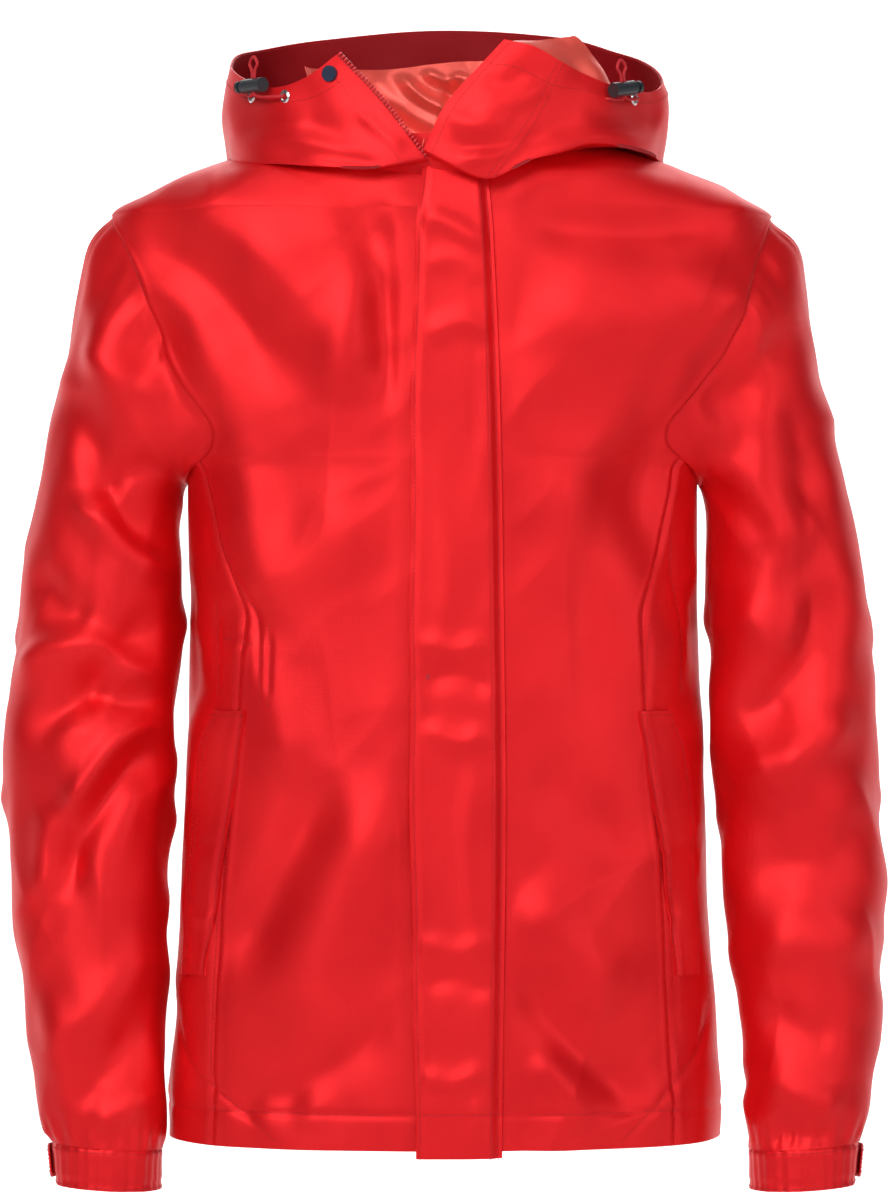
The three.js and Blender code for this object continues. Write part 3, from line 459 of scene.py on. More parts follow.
def cloth(name, grid, thickness, material, wrap=False, lining=None):
    """A closed sheet: grid is its outer face in millimetres, and thickness is laid inside it."""
    rows, columns = grid.shape[:2]
    normal = normals_of(grid, wrap)
    inner = grid - normal * thickness
    points = np.concatenate([grid.reshape(-1, 3), inner.reshape(-1, 3)]) * 0.001
    points[:, 1] -= NAPE_BACK * 0.001
    layer = rows * columns
    spans = columns if wrap else columns - 1
    faces, kinds = [], []
    for j in range(rows - 1):
        for i in range(spans):
            a, b = j * columns + i, j * columns + (i + 1) % columns
            c, d = b + columns, a + columns
            faces.append((a, b, c, d))
            faces.append((a + layer, d + layer, c + layer, b + layer))
            kinds += [0, 1]
    for i in range(spans):
        for j, turned in ((0, False), (rows - 1, True)):
            a, b = j * columns + i, j * columns + (i + 1) % columns
            faces.append((a, b, b + layer, a + layer) if turned else (b, a, a + layer, b + layer))
            kinds.append(0)
    if not wrap:
        for j in range(rows - 1):
            a, b = j * columns, (j + 1) * columns
            faces.append((a, b, b + layer, a + layer))
            a, b = a + columns - 1, b + columns - 1
            faces.append((b, a, a + layer, b + layer))
            kinds += [0, 0]
    mesh = bpy.data.meshes.new(name)
    mesh.from_pydata(points.tolist(), [], faces)
    across = np.concatenate([np.zeros((rows, 1)), np.linalg.norm(np.diff(grid, axis=1), axis=2)], axis=1)
    along = np.concatenate([np.zeros((1, columns)), np.linalg.norm(np.diff(grid, axis=0), axis=2)])
    u = np.cumsum(across, axis=1)
    u = (u - u[:, columns // 2:columns // 2 + 1]).reshape(-1) * 0.001
    v = np.cumsum(along, axis=0).reshape(-1) * 0.001
    flat = np.stack([np.tile(u, 2), np.tile(v, 2)], axis=1)
    corner = np.zeros(len(mesh.loops), int)
    mesh.loops.foreach_get("vertex_index", corner)
    layer_uv = mesh.uv_layers.new(name="cloth")
    layer_uv.data.foreach_set("uv", flat[corner].astype(np.float32).reshape(-1))
    mesh.materials.append(material)
    # the second finish goes on the inner face; the shell pieces pass the darker red there, painted shade for
    # their insides
    if lining is not None:
        mesh.materials.append(lining)
        mesh.polygons.foreach_set("material_index", kinds)
    mesh.shade_smooth()
    mesh.set_sharp_from_angle(angle=math.radians(50))
    made = bpy.data.objects.new(name, mesh)
    scene.collection.objects.link(made)
    return made


def dress(piece, body, slot, *nodes):
    """The piece rides on a body and stands for CAD nodes, which it hides; slot is not used."""
    if body:
        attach(piece, body)
    if nodes:
        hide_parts(*nodes)
    return piece


# %% [markdown]
# ## Folds
# Satin shows its folds more than its colour. A fold is a line drawn over the front of the jacket with a
# height and a width on each side: a steep side throws the dark shadow, and a slow side catches the
# light. The lists below are drawn in millimetres to the wearer's left and up from the nape. A
# slow drift of long soft waves, with a fixed seed, keeps the stretches between the folds from going flat.

# %% Fold tools
def distance_to(path, x, z):
    """Signed distance from points to a smooth path, and the share of the path's length there."""
    path = spline(np.array(path, float), np.linspace(0, len(path) - 1, 6 * len(path)))
    best = np.full(x.shape, 1e9)
    signed = np.zeros(x.shape)
    share = np.zeros(x.shape)
    step = np.diff(path, axis=0)
    length = np.linalg.norm(step, axis=1)
    start = np.concatenate([[0], np.cumsum(length)])
    for k in range(len(step)):
        px, pz = x - path[k, 0], z - path[k, 1]
        t = np.clip((px * step[k, 0] + pz * step[k, 1]) / length[k]**2, 0, 1)
        dx, dz = px - t * step[k, 0], pz - t * step[k, 1]
        d = np.hypot(dx, dz)
        nearer = d < best
        best = np.where(nearer, d, best)
        side = np.sign(step[k, 0] * dz - step[k, 1] * dx)
        signed = np.where(nearer, d * side, signed)
        share = np.where(nearer, (start[k] + t * length[k]) / start[-1], share)
    return signed, share


def folds(rows, x, z):
    """Total height of a list of folds: (path, height, width on its left, width on its right)."""
    total = np.zeros(x.shape)
    for path, height, left, right in rows:
        xs, zs = [p[0] for p in path], [p[1] for p in path]
        reach = 3 * max(left, right)
        near = ((x > min(xs) - reach) & (x < max(xs) + reach) & (z > min(zs) - reach) & (z < max(zs) + reach))
        if not near.any():
            continue
        d, share = distance_to(path, x[near], z[near])
        width = np.where(d > 0, left, right)
        ends = smoothstep(0, 0.28, share) * smoothstep(0, 0.28, 1 - share)
        total[near] += height * ends * np.exp(-(d / width)**2)
    return total


def drift(points, seed, wave, height):
    """Slow soft waves through space, from a few sines with a fixed seed."""
    random = np.random.default_rng(seed)
    total = np.zeros(points.shape[:-1])
    for _ in range(7):
        way = random.normal(size=3)
        way *= 2 * math.pi / wave / np.linalg.norm(way) * random.uniform(0.7, 1.4)
        total += np.sin(points @ way + random.uniform(0, 2 * math.pi))
    return total * height / math.sqrt(7)


def crumple(points, seed, wave, height):
    """Creases with sharp backs, as thin stiff cloth makes them: bent ridges that fade in and out."""
    random = np.random.default_rng(seed)
    bend = drift(points, seed + 1, 2.2 * wave, 0.5)
    total = np.zeros(points.shape[:-1])
    for turn in range(4):
        way = random.normal(size=3) * [1.0, 0.5, 1.0]
        way *= math.pi / wave / np.linalg.norm(way) * random.uniform(0.7, 1.2)
        ridge = 1 - np.abs(np.sin(points @ way + bend + random.uniform(0, math.pi)))
        fade = drift(points, seed + 2 + turn, 2.8 * wave, 0.9)
        total += (ridge**1.4 - 0.42) * smoothstep(0.1, 1.2, fade)
    return total * height


# %% [markdown]
# ## Body surface
# The body is drafted as in the CAD model: half widths and depths at a few heights, and ovals that are a
# little square. Both layers, shell and lining, read the same surface and the same folds, so they never
# cross each other.

# %% Body measures
HEM_Z = -713.0
UNDERARM_Z = -232.0
SHOULDER_Z = -45.0
HEM_STITCH_Z = -687.0
SQUARENESS = 2.5
HALF_WIDTH = [(-713, 200), (-600, 196), (-480, 190), (-330, 185), (-232, 184), (-215, 194), (-190, 208),
              (-138, 237), (-90, 249), (-60, 244.5), (-45, 240), (-30, 216), (-15, 183), (-3, 148), (4, 106),
              (9, 80)]
FRONT_DEPTH = [(-713, 122), (-400, 117), (-80, 112), (-45, 110), (-20, 104), (-10, 95), (0, 82), (9, 60)]
BACK_DEPTH = [(-713, 116), (-500, 110), (-300, 112), (-150, 113), (-70, 96), (-45, 86), (-20, 72), (-3, 62),
              (9, 52)]
SIDE_SEAM = [(-713, 38), (-590, 38), (-400, 43), (-340, 45), (-282, 34), (-200, 24)]
# The armhole seam curves in towards the chest, in front, under the arm.
ARMHOLE_IN = [(-232, 0), (-217, 20), (-201, 25), (-185, 21), (-172, 15), (-144, 6), (-105, 5), (-68, 1),
              (-45, 0)]


def armhole_x(z, front):
    """How far out the armhole seam lies at a height; front is 1 on the chest and 0 at the back."""
    plane = 184 + (240 - 184) * (z - UNDERARM_Z) / (SHOULDER_Z - UNDERARM_Z)
    return plane - front * follow(ARMHOLE_IN, z)


def torso(angle, z):
    """Body surface: angle 0 is the wearer's left side, 90 degrees the back, -90 the front."""
    c, s = np.cos(angle), np.sin(angle)
    depth = np.where(s < 0, follow(FRONT_DEPTH, z), follow(BACK_DEPTH, z))
    x = follow(HALF_WIDTH, z) * np.sign(c) * np.abs(c)**(2 / SQUARENESS)
    y = depth * np.sign(s) * np.abs(s)**(2 / SQUARENESS)
    return np.stack([x, y, np.broadcast_to(z, x.shape)], axis=-1)


def angle_at(x, z):
    """The front angle, from 0 at the side to 90 degrees at the middle, where the body has this x."""
    share = np.clip(np.abs(x) / follow(HALF_WIDTH, z), 0, 1)
    return np.arccos(share**(SQUARENESS / 2))


BODY_FOLDS = [
    ([(-238, -60), (-180, -88), (-135, -135), (-112, -190)], -5.0, 26, 20),
    ([(-205, -35), (-140, -70), (-85, -125), (-60, -190)], 4.0, 30, 26),
    ([(-225, -110), (-196, -140), (-168, -190), (-158, -240)], -4.0, 16, 12),
    ([(-205, -120), (-175, -165), (-140, -240), (-135, -330)], 4.0, 18, 26),
    ([(-80, -25), (-55, -60), (-40, -120), (-34, -200)], -5.0, 22, 14),
    ([(-30, -60), (-60, -110), (-80, -190)], 2.5, 16, 16),
    ([(-75, -440), (-100, -490), (-128, -545), (-158, -600)], -5.0, 22, 17),
    ([(-35, -440), (-62, -505), (-88, -580), (-90, -660)], 4.5, 26, 30),
    ([(-150, -330), (-120, -400), (-105, -460)], 3.0, 20, 24),
    ([(-45, -250), (-95, -300), (-150, -330)], 2.6, 30, 26),
    ([(-30, -600), (-60, -640), (-120, -675), (-170, -680)], -2.5, 14, 12),
    ([(48, -40), (95, -60), (160, -62), (215, -55)], -5.0, 22, 18),
    ([(50, -115), (110, -125), (165, -115), (215, -85)], 4.5, 30, 26),
    ([(232, -75), (200, -120), (172, -165), (150, -215)], 3.5, 18, 14),
    ([(215, -110), (180, -160), (150, -235), (140, -310)], -4.0, 15, 22),
    ([(55, -210), (95, -260), (140, -340), (158, -420)], 3.2, 34, 28),
    ([(150, -180), (118, -260), (100, -350), (108, -430)], -3.0, 26, 22),
    ([(50, -580), (78, -620), (112, -655), (150, -690)], -4.6, 18, 15),
    ([(48, -520), (90, -570), (138, -610)], 3.8, 24, 22),
    ([(60, -430), (105, -470), (140, -530)], -2.8, 22, 26),
    ([(60, -640), (90, -675), (100, -705)], 2.6, 12, 12),
    ([(190, -300), (186, -360), (178, -420)], -3.0, 12, 12),
    ([(-188, -300), (-186, -360), (-175, -420)], -3.0, 12, 12),
]
BACK_FOLDS = [
    ([(-200, -90), (-120, -150), (-40, -190), (60, -200)], -4.0, 24, 20),
    ([(205, -100), (130, -170), (50, -230), (-50, -260)], 4.0, 26, 20),
    ([(-170, -240), (-110, -320), (-60, -420), (-40, -520)], 4.5, 28, 24),
    ([(175, -250), (130, -330), (90, -430), (80, -540)], -4.5, 26, 24),
    ([(-150, -480), (-80, -560), (0, -620), (90, -650)], 4.0, 26, 18),
    ([(150, -520), (90, -600), (40, -690)], 3.5, 22, 20),
    ([(-30, -260), (0, -360), (10, -460)], -3.5, 30, 26),
]


# Sewn lines on the front, as (x, z): the seams over and under each pocket and the slanted side seams.
SEAM_LINES = [
    [(-156, -282), (-147, -306), (-138, -323), (-130, -340), (-127, -398)], [(-122, -342), (-121, -398)],
    [(-161, -325), (-161, -392)], [(-155, -351), (-133, -356)],
    [(-156, -507), (-161, -546), (-163, -590), (-165, -662)],
    [(-195, -609), (-186, -647), (-151, -681), (-120, -706)],
    [(165, -282), (165, -305), (171, -345), (174, -389)], [(144, -342), (144, -397)],
    [(163, -512), (166, -560), (168, -660)], [(192, -596), (186, -639), (155, -679), (127, -707)],
]


def body_lift(points):
    """Height of the cloth's folds over the plain body, at points on the body."""
    x, y, z = points[..., 0], points[..., 1], points[..., 2]
    front = smoothstep(10, -30, y)
    flap = 1 - 0.75 * np.exp(-(np.clip(np.abs(x - 8) - 36, 0, None) / 9)**2)
    lift = 1.9 * front * flap * folds(BODY_FOLDS, x, z) + 1.6 * (1 - front) * folds(BACK_FOLDS, x, z)
    lift += (0.2 + 0.8 * flap) * (crumple(points, 41, 120, 4.2) + crumple(points, 61, 58, 1.0))
    lift += (0.35 + 0.65 * flap) * (drift(points, 3, 150, 1.5) + drift(points, 5, 62, 0.55))
    lift += front * folds([(path, -1.5, 2.8, 2.8) for path in SEAM_LINES], x, z)
    lift -= 1.2 * np.exp(-((z - HEM_STITCH_Z) / 2.4)**2)
    # the hem band gathers the cloth in small upright puckers above its stitch line
    near_hem = np.exp(-((z + 683) / 16)**2)
    around = np.arctan2(y, x) * 170
    fade = 0.5 + 0.5 * np.sin(around / 23)
    lift += near_hem * 1.5 * np.sin(around / 5.5 + 2.0 * np.sin(around / 37)) * fade
    # the zip is stiff: the cloth beside it lies flat, so the slider runs free
    return lift * (1 - 0.97 * front * np.exp(-(x / 22)**6))


def on_body(angle, z, lift=0.0):
    """Body surface with its folds, raised by lift."""
    base = torso(angle, z)
    d = 0.004
    across = torso(angle + d, z) - torso(angle - d, z)
    along = torso(angle, z + 1.0) - torso(angle, z - 1.0)
    normal = np.cross(across, along)
    normal /= np.maximum(np.linalg.norm(normal, axis=-1, keepdims=True), 1e-9)
    return base + normal * (body_lift(base) + lift)[..., None]


print("body at the hem:", round(2 * float(follow(HALF_WIDTH, HEM_Z))), "mm wide")


# %% [markdown]
# A seam pulls the cloth in and the layers beside it stand up. One formula of the distance to the seam
# does this everywhere, which is simpler than modelling each folded seam allowance.

# %% Seam dips
def seam_dip(distance, depth=1.3, width=3.2):
    """Cloth sinks a little where it is sewn, and stands up again beside the seam."""
    d = np.abs(distance)
    return -depth * np.exp(-(d / width)**2) + 0.35 * depth * np.exp(-((d - 2.4 * width) / width)**2)


# %% [markdown]
# ## Body panels
# Each panel is a grid that runs from one seam to the next. The front and back end at the armhole above
# the underarm and at the side panel below it. Every seam edge dips, which is what makes it read as sewn.

# %% Cut the body panels
SHELL = 1.0                       # thickness of the shell cloth
LINING_LIFT = -4.6                # the lining hangs this far inside the shell's outer face
LINING_LOW = -680                 # and ends above the hem band
LINING_THICK = 0.6
NECK_HALF, NECK_FRONT, NECK_BACK = 84.0, 104.0, 62.0
rows_up = np.concatenate([np.arange(HEM_Z + 1, -670, 2.1), np.arange(-670, SHOULDER_Z, 3.0),
                          np.arange(SHOULDER_Z, 9, 2.0)])


def side_angle(z):
    return np.radians(follow(SIDE_SEAM, z))


def panel_end(z, front):
    """Angle where the front or back panel ends: the side panel's seam, then the armhole."""
    arm = angle_at(armhole_x(z, front) - 1.0, z)
    arm = np.where(z >= SHOULDER_Z, 0.004, arm)
    return np.where(z < UNDERARM_Z, side_angle(z), np.where(z < -150, np.maximum(arm, side_angle(z)), arm))


def facing_out(grid):
    """The grid turned so that its normals point away from the body's upright axis."""
    normal = normals_of(grid)
    outwards = (normal[..., 0] * grid[..., 0] + normal[..., 1] * grid[..., 1]).sum()
    return grid if outwards > 0 else grid[:, ::-1]


def panel_grid(side, front, columns, lift=0.0, low=HEM_Z + 1, inset=0.0):
    """Grid of a front or back half: side is 1 for the wearer's left, front is 1 or 0."""
    z = rows_up[rows_up >= low]
    end = panel_end(z, front)
    middle = np.full(z.shape, math.pi / 2)
    if front:
        middle -= 0.012 if side < 0 else -0.012
    share = np.linspace(0, 1, columns)[None, :]
    angle = end[:, None] + (middle - end)[:, None] * share
    zz = np.broadcast_to(z[:, None], angle.shape)
    turned = -angle if front else angle
    if side < 0:
        turned = math.pi - turned
    dip = seam_dip((angle - end[:, None]) * 190) if inset == 0 else 0
    return facing_out(on_body(turned, zz, lift + dip))


def trim_neck(grid):
    """Pulls the points over the neck opening out to the neck seam, and down a little."""
    x, y = grid[..., 0], grid[..., 1]
    depth = np.where(y < 0, NECK_FRONT - 3, NECK_BACK + 1)
    inside = np.sqrt((x / (NECK_HALF + 1))**2 + (y / depth)**2)
    push = np.where((inside < 1) & (grid[..., 2] > -40), 1 / np.maximum(inside, 0.05), 1.0)
    grid = grid.copy()
    grid[..., 0] *= push
    grid[..., 1] *= push
    return grid


for side, name in ((-1, "right"), (1, "left")):
    front = trim_neck(panel_grid(side, 1, 108))
    piece = cloth(f"front_body_{name}", front, SHELL, SHELL_RED, lining=SHADED_INNER_RED)
    dress(piece, "root", "shell_fabric", f"front_panel_{name}")
    inside = trim_neck(panel_grid(side, 1, 40, LINING_LIFT, LINING_LOW, 1))
    inner = cloth(f"front_lining_satin_{name}", inside, LINING_THICK, LINING)
    dress(inner, "root", "lining_fabric", f"front_lining_{name}")
halves = [trim_neck(panel_grid(side, 0, 74)) for side in (1, -1)]
whole = np.concatenate([halves[0][:, :-1], halves[1]], axis=1)
print("back grid runs from x", round(whole[5, 0, 0]), "to", round(whole[5, -1, 0]))
dress(cloth("back_body", whole, SHELL, SHELL_RED, lining=SHADED_INNER_RED), "root", "shell_fabric", "back_panel")
inner = [trim_neck(panel_grid(side, 0, 38, LINING_LIFT, LINING_LOW, 1)) for side in (1, -1)]
whole = np.concatenate([inner[0][:, :-1], inner[1]], axis=1)
dress(cloth("back_lining_satin", whole, LINING_THICK, LINING), "root", "lining_fabric", "back_lining")


# %% [markdown]
# A side panel closes the body between front and back, from the hem to the underarm. Its top edge has to
# follow the armhole's curve, so its rows bend instead of staying level.

# %% Side panels
def side_panel_grid(side, lift=0.0):
    """The side panel, from hem to underarm, between the two side seams."""
    share = np.linspace(-1, 1, 60)[None, :]
    up = np.linspace(0, 1, 142)[:, None]
    # the top edge follows the armhole, which rises faster behind than in front
    heights = np.linspace(UNDERARM_Z, -175, 60)
    top_angle = np.abs(share) * side_angle(UNDERARM_Z)
    tops = []
    for front in (1, 0):
        reached = np.maximum.accumulate(angle_at(armhole_x(heights, front) - 1, heights))
        tops.append(np.interp(top_angle, reached, heights))
    top = np.where(share < 0, tops[0], tops[1]) + 0.6
    z = HEM_Z + 1 + (top - HEM_Z - 1) * up
    limit = side_angle(z)
    angle = limit * share
    dip = seam_dip((limit - np.abs(angle)) * 190)
    turned = angle if side > 0 else math.pi - angle
    return facing_out(on_body(turned, z, lift + dip))


for side, name in ((-1, "right"), (1, "left")):
    piece = cloth(f"side_body_{name}", side_panel_grid(side), SHELL, SHELL_RED, lining=SHADED_INNER_RED)
    dress(piece, "root", "shell_fabric", f"side_panel_{name}")
print("body panels cut")

# %% [markdown]
# ## Sleeves and cuffs
# A sleeve is lofted through rings. The lowest lies at the cuff, and the last is the armhole itself, so
# the sleeve head meets the body's seam. The arms hang bent a little forward: the cloth buckles in a fan
# at the elbow, and hangs smooth over the upper arm.

# %% Sleeve rings
# height, centre x, half width, half depth, centre y, tilt in degrees
SLEEVE_RINGS = [(-717, 243.0, 40.5, 38, -30, 4), (-690, 246, 46, 41, -27, 3.5), (-660, 249, 48, 44, -24, 3),
                (-600, 253.5, 52.5, 50, -18, 2), (-520, 257, 59, 56, -11, 1), (-413, 255, 61, 60, -5, 2),
                (-347, 251, 60, 62, -2, 8), (-275, 244, 57, 62, 0, 22), (-200, 232, 64, 62, 0, 48)]
SLEEVE_SWING = [(-700, 18), (-600, 12), (-450, 0)]
SLEEVE_FOLDS = {
    "right": [
        ([(-200, -305), (-225, -268), (-258, -205), (-268, -160)], -5.0, 14, 20),
        ([(-190, -250), (-215, -205), (-240, -150), (-246, -100)], 4.5, 16, 16),
        ([(-190, -178), (-225, -165), (-262, -138)], 3.0, 12, 12),
        ([(-200, -222), (-232, -238), (-262, -262)], -3.5, 9, 14),
        ([(-192, -305), (-214, -296), (-246, -262), (-262, -236)], 5.0, 13, 9),
        ([(-198, -330), (-222, -350), (-250, -388), (-262, -420)], -5.5, 13, 16),
        ([(-196, -392), (-222, -376), (-252, -356), (-290, -362), (-312, -400)], 5.5, 16, 11),
        ([(-196, -404), (-226, -396), (-262, -392), (-300, -430)], -5.0, 12, 16),
        ([(-198, -398), (-232, -424), (-262, -466), (-280, -486)], 5.5, 15, 9),
        ([(-196, -420), (-228, -450), (-262, -500), (-268, -545)], -6.5, 11, 16),
        ([(-272, -470), (-286, -500), (-290, -545)], 3.5, 12, 14),
        ([(-205, -560), (-232, -600), (-262, -630), (-288, -640)], 3.6, 16, 16),
        ([(-210, -620), (-240, -660), (-275, -690)], -3.4, 12, 14),
        ([(-206, -672), (-228, -690), (-256, -700)], 2.8, 9, 10),
        ([(-286, -600), (-272, -650), (-262, -700)], 2.6, 12, 14),
        ([(-300, -300), (-272, -330), (-246, -336)], -3.0, 14, 14),
    ],
    "left": [
        ([(182, -200), (205, -182), (232, -158), (252, -120)], -4.6, 14, 18),
        ([(172, -220), (200, -228), (240, -262), (258, -310)], 4.5, 20, 14),
        ([(240, -150), (262, -210), (262, -290), (250, -350)], -3.6, 22, 18),
        ([(285, -200), (292, -270), (292, -350)], 3.0, 18, 16),
        ([(205, -420), (236, -392), (266, -346), (276, -300)], -6.5, 13, 22),
        ([(200, -440), (230, -446), (268, -426), (296, -390)], 5.0, 16, 18),
        ([(212, -500), (246, -512), (284, -500), (306, -470)], -3.6, 18, 20),
        ([(216, -560), (246, -572), (286, -566), (308, -540)], 3.6, 20, 18),
        ([(222, -610), (252, -628), (290, -634)], -3.4, 14, 18),
        ([(226, -660), (252, -676), (290, -690)], 3.4, 14, 12),
        ([(232, -700), (256, -706), (284, -712)], -2.2, 8, 9),
        ([(212, -320), (232, -350), (262, -372)], 3.0, 12, 16),
    ],
}
ELBOW_FOLDS = [
    ([(-80, -250), (-30, -280), (40, -300)], 3.5, 14, 12),
    ([(-80, -330), (-20, -352), (60, -330)], 4.0, 14, 10),
    ([(-80, -400), (-10, -420), (60, -396)], -4.5, 12, 14),
    ([(-80, -468), (-20, -470), (50, -500)], 4.0, 12, 14),
    ([(-70, -560), (-20, -585), (40, -610)], 3.2, 16, 16),
    ([(-70, -655), (-20, -668), (20, -690)], -2.6, 12, 12),
]


def armhole_ring(turn, side):
    """Closed seam line of one armhole: turn 0 is the shoulder, 90 degrees the back, -90 the chest."""
    middle, half = (SHOULDER_Z + UNDERARM_Z) / 2, (SHOULDER_Z - UNDERARM_Z) / 2
    z = middle + half * np.cos(turn)
    front = (np.sin(turn) < 0) * 1.0
    x = armhole_x(z, front) - 4.0
    angle = angle_at(x, z)
    turned = np.where(np.sin(turn) < 0, -angle, angle)
    if side < 0:
        turned = math.pi - turned
    return on_body(turned, z, seam_dip(np.zeros(z.shape)) - 0.3) * [side, 1, 1]


def sleeve_grid(name, columns=150, step=3.4):
    """Grid of the sleeve's outer face, from the cuff up to the armhole."""
    side = 1 if name == "left" else -1
    turn = np.linspace(0, 2 * math.pi, columns, endpoint=False)
    rings = []
    for z, x, half, depth, y, tilt in SLEEVE_RINGS:
        out = np.cos(turn) * half
        rise = math.radians(tilt)
        swing = float(follow(SLEEVE_SWING, z)) if side > 0 else 0.0
        rings.append(np.stack([x + swing * side + out * math.cos(rise), y + np.sin(turn) * depth,
                               z + out * math.sin(rise)], axis=-1))
    head = armhole_ring(turn, side)
    before = rings[-1]
    # the sleeve head swells over the shoulder before it turns in to the seam
    swell = head * 0.62 + before * 0.38
    swell[:, 0] += 8 * np.clip(np.cos(turn), 0, 1) + 2
    swell[:, 2] += 12 * np.clip(np.cos(turn), 0, 1)**2
    swell[:, 1] *= 1.02
    rings += [swell, head]
    rings = np.array(rings)
    spans = [max(2, int(round(np.linalg.norm(rings[k + 1] - rings[k], axis=1).mean() / step)))
             for k in range(len(rings) - 1)]
    steps = [np.linspace(k, k + 1, n, endpoint=False) for k, n in enumerate(spans)]
    at = np.concatenate(steps + [[len(spans)]])
    grid = spline(rings, at)
    grid[..., 0] *= side
    if side < 0:
        grid = grid[:, ::-1]
    normal = normals_of(grid, True)
    off_axis = grid[..., 0] - grid[..., 0].mean(axis=1, keepdims=True)
    flip = 1 if (normal[..., 0] * off_axis).sum() > 0 else -1
    normal *= flip
    share = at / len(spans)
    held = smoothstep(0, 0.03, share) * smoothstep(0, 0.06, 1 - share)
    centre_y = grid[..., 1].mean(axis=1, keepdims=True)
    front = smoothstep(14, -18, grid[..., 1] - centre_y)
    x, z = grid[..., 0], grid[..., 2]
    lift = 1.75 * front * folds(SLEEVE_FOLDS[name], x, z)
    lift += crumple(grid, 71 + side, 92, 3.8) + crumple(grid, 81 + side, 48, 1.4)
    lift += (1 - front) * folds(ELBOW_FOLDS, grid[..., 1] - 0.35 * side * (x - side * 250), z)
    lift += drift(grid, 11 + side, 95, 1.6) + drift(grid, 17 + side, 44, 0.6)
    # the wide sleeve is gathered into the narrow cuff in small upright puckers
    gather = np.exp(-(at / 0.55)**2)[:, None]
    arc = np.linspace(0, 2 * math.pi, columns, endpoint=False)[None, :]
    lift += gather * 1.1 * np.sin(arc * 21 + 2 * np.sin(arc * 3))
    # small gathers ease the sleeve head into the armhole
    ease = np.exp(-((len(spans) - at) / 0.8)**2)[:, None]
    lift += ease * 0.5 * np.sin(arc * 34 + 3 * np.sin(arc * 5)) * (len(spans) - at > 0.02)[:, None]
    grid = grid + normal * (lift * held[:, None])[..., None]
    return grid if flip > 0 else grid[:, ::-1]


for name in ("right", "left"):
    grid = sleeve_grid(name)
    piece = cloth(f"sleeve_cloth_{name}", grid, SHELL, SHELL_RED, wrap=True, lining=SHADED_INNER_RED)
    dress(piece, "root", "shell_fabric", f"sleeve_{name}")
    print(f"sleeve {name}: {grid.shape[0]} rows, x to {abs(grid[..., 0]).max():.0f} mm")


# %% [markdown]
# The cuff is a turned band a little narrower than the sleeve, and a tab with a hook patch tightens it. The
# tab is its own piece because it turns on a joint, and both are read off one rounded shape, so they nest.

# %% Cuffs and tabs
CUFF_LOW, CUFF_HEIGHT = -747.0, 31.0


def cuff_point(name, share, turn, lift):
    """A point on the cuff: share up its height, turn round from the outer side, lift off its face."""
    side = 1 if name == "left" else -1
    swing = SLEEVE_SWING[0][1] if side > 0 else 0
    x = 241.5 + 1.5 * share
    half = 38 + 1.6 * share + lift
    depth = 36 + 1.6 * share + lift
    y = -32 + 1.5 * share
    out = np.cos(turn) * half
    rise = math.radians(3)
    return np.stack([side * (x + out * math.cos(rise)) + swing, y + np.sin(turn) * depth,
                     CUFF_LOW + CUFF_HEIGHT * share + out * math.sin(rise)], axis=-1)


def outward(grid, wrap=False):
    """The grid with its columns turned round if its normals point in to its middle."""
    normal = normals_of(grid, wrap)
    middle = grid.reshape(-1, 3).mean(axis=0)
    return grid if (normal * (grid - middle)).sum() > 0 else grid[:, ::-1]


def cuff_cloth(name):
    share = np.linspace(0, 1, 17)[:, None]
    turn = np.linspace(0, 2 * math.pi, 160, endpoint=False)[None, :]
    edge = seam_dip((1 - share) * CUFF_HEIGHT, 1.2, 2.4) + seam_dip((share - 0.16) * CUFF_HEIGHT, 0.5, 2)
    lift = edge + 0.45 * np.sin(turn * 7 + 1.5 * np.sin(turn * 3)) + 0.25 * np.sin(turn * 29 + share * 2)
    grid = cuff_point(name, share, turn, lift)
    return outward(grid, True)


def tab_cloth(name):
    """The cuff's tab, sewn behind the wrist, round the outer side to its free end."""
    share = np.linspace(0.11, 0.89, 13)[:, None]
    turn = np.radians(np.linspace(-2, 110, 56))[None, :]
    rounded = smoothstep(np.radians(7), np.radians(-2), turn) * 0.10
    share = 0.5 + (share - 0.5) * (1 - rounded * np.abs(share - 0.5) * 6)
    lift = 3.8 + 0.35 * np.sin(turn * 9) + seam_dip((share - 0.15) * CUFF_HEIGHT, 0.3, 1.5) \
        + seam_dip((share - 0.85) * CUFF_HEIGHT, 0.3, 1.5)
    return outward_from(cuff_point(name, share, turn, lift), cuff_point(name, 0.5, np.array([0.0]), -38)[0])


def outward_from(grid, centre):
    """The grid turned so that its normals point away from a centre."""
    normal = normals_of(grid)
    return grid if (normal * (grid - centre)).sum() > 0 else grid[:, ::-1]


for name in ("right", "left"):
    piece = cloth(f"cuff_cloth_{name}", cuff_cloth(name), 1.2, SHELL_RED, wrap=True, lining=SHADED_INNER_RED)
    dress(piece, "root", "shell_fabric", f"cuff_band_{name}")
    piece = cloth(f"cuff_tab_cloth_{name}", tab_cloth(name), 1.2, SHELL_RED)
    dress(piece, f"cuff_tab_{name}", "shell_fabric", f"cuff_tab_{name}")

# %% [markdown]
# ## Hem, storm flap and pockets
# The hem is turned up inside, so from outside it is a stitched line above a firm edge. The storm flap is
# a separate strip sewn along the wearer's left of the zip. It swings out from that seam, so its cloth
# bends between the body and the flap. The pocket welts lie on the side seams, open along the outer edge.

# %% Hem band
def hem_grid():
    """Turned-up hem inside the body, all round, just inside the panels."""
    z = np.linspace(HEM_Z + 0.5, HEM_Z + 25, 9)[:, None]
    angle = np.linspace(-math.pi / 2 + 0.02, 1.5 * math.pi - 0.02, 260)[None, :]
    grid = on_body(np.broadcast_to(angle, (9, 260)), np.broadcast_to(z, (9, 260)), np.full((9, 260), -1.3))
    return grid


dress(cloth("hem_cloth", hem_grid(), 1.0, SHELL_RED), "root", "shell_fabric", "hem_band")
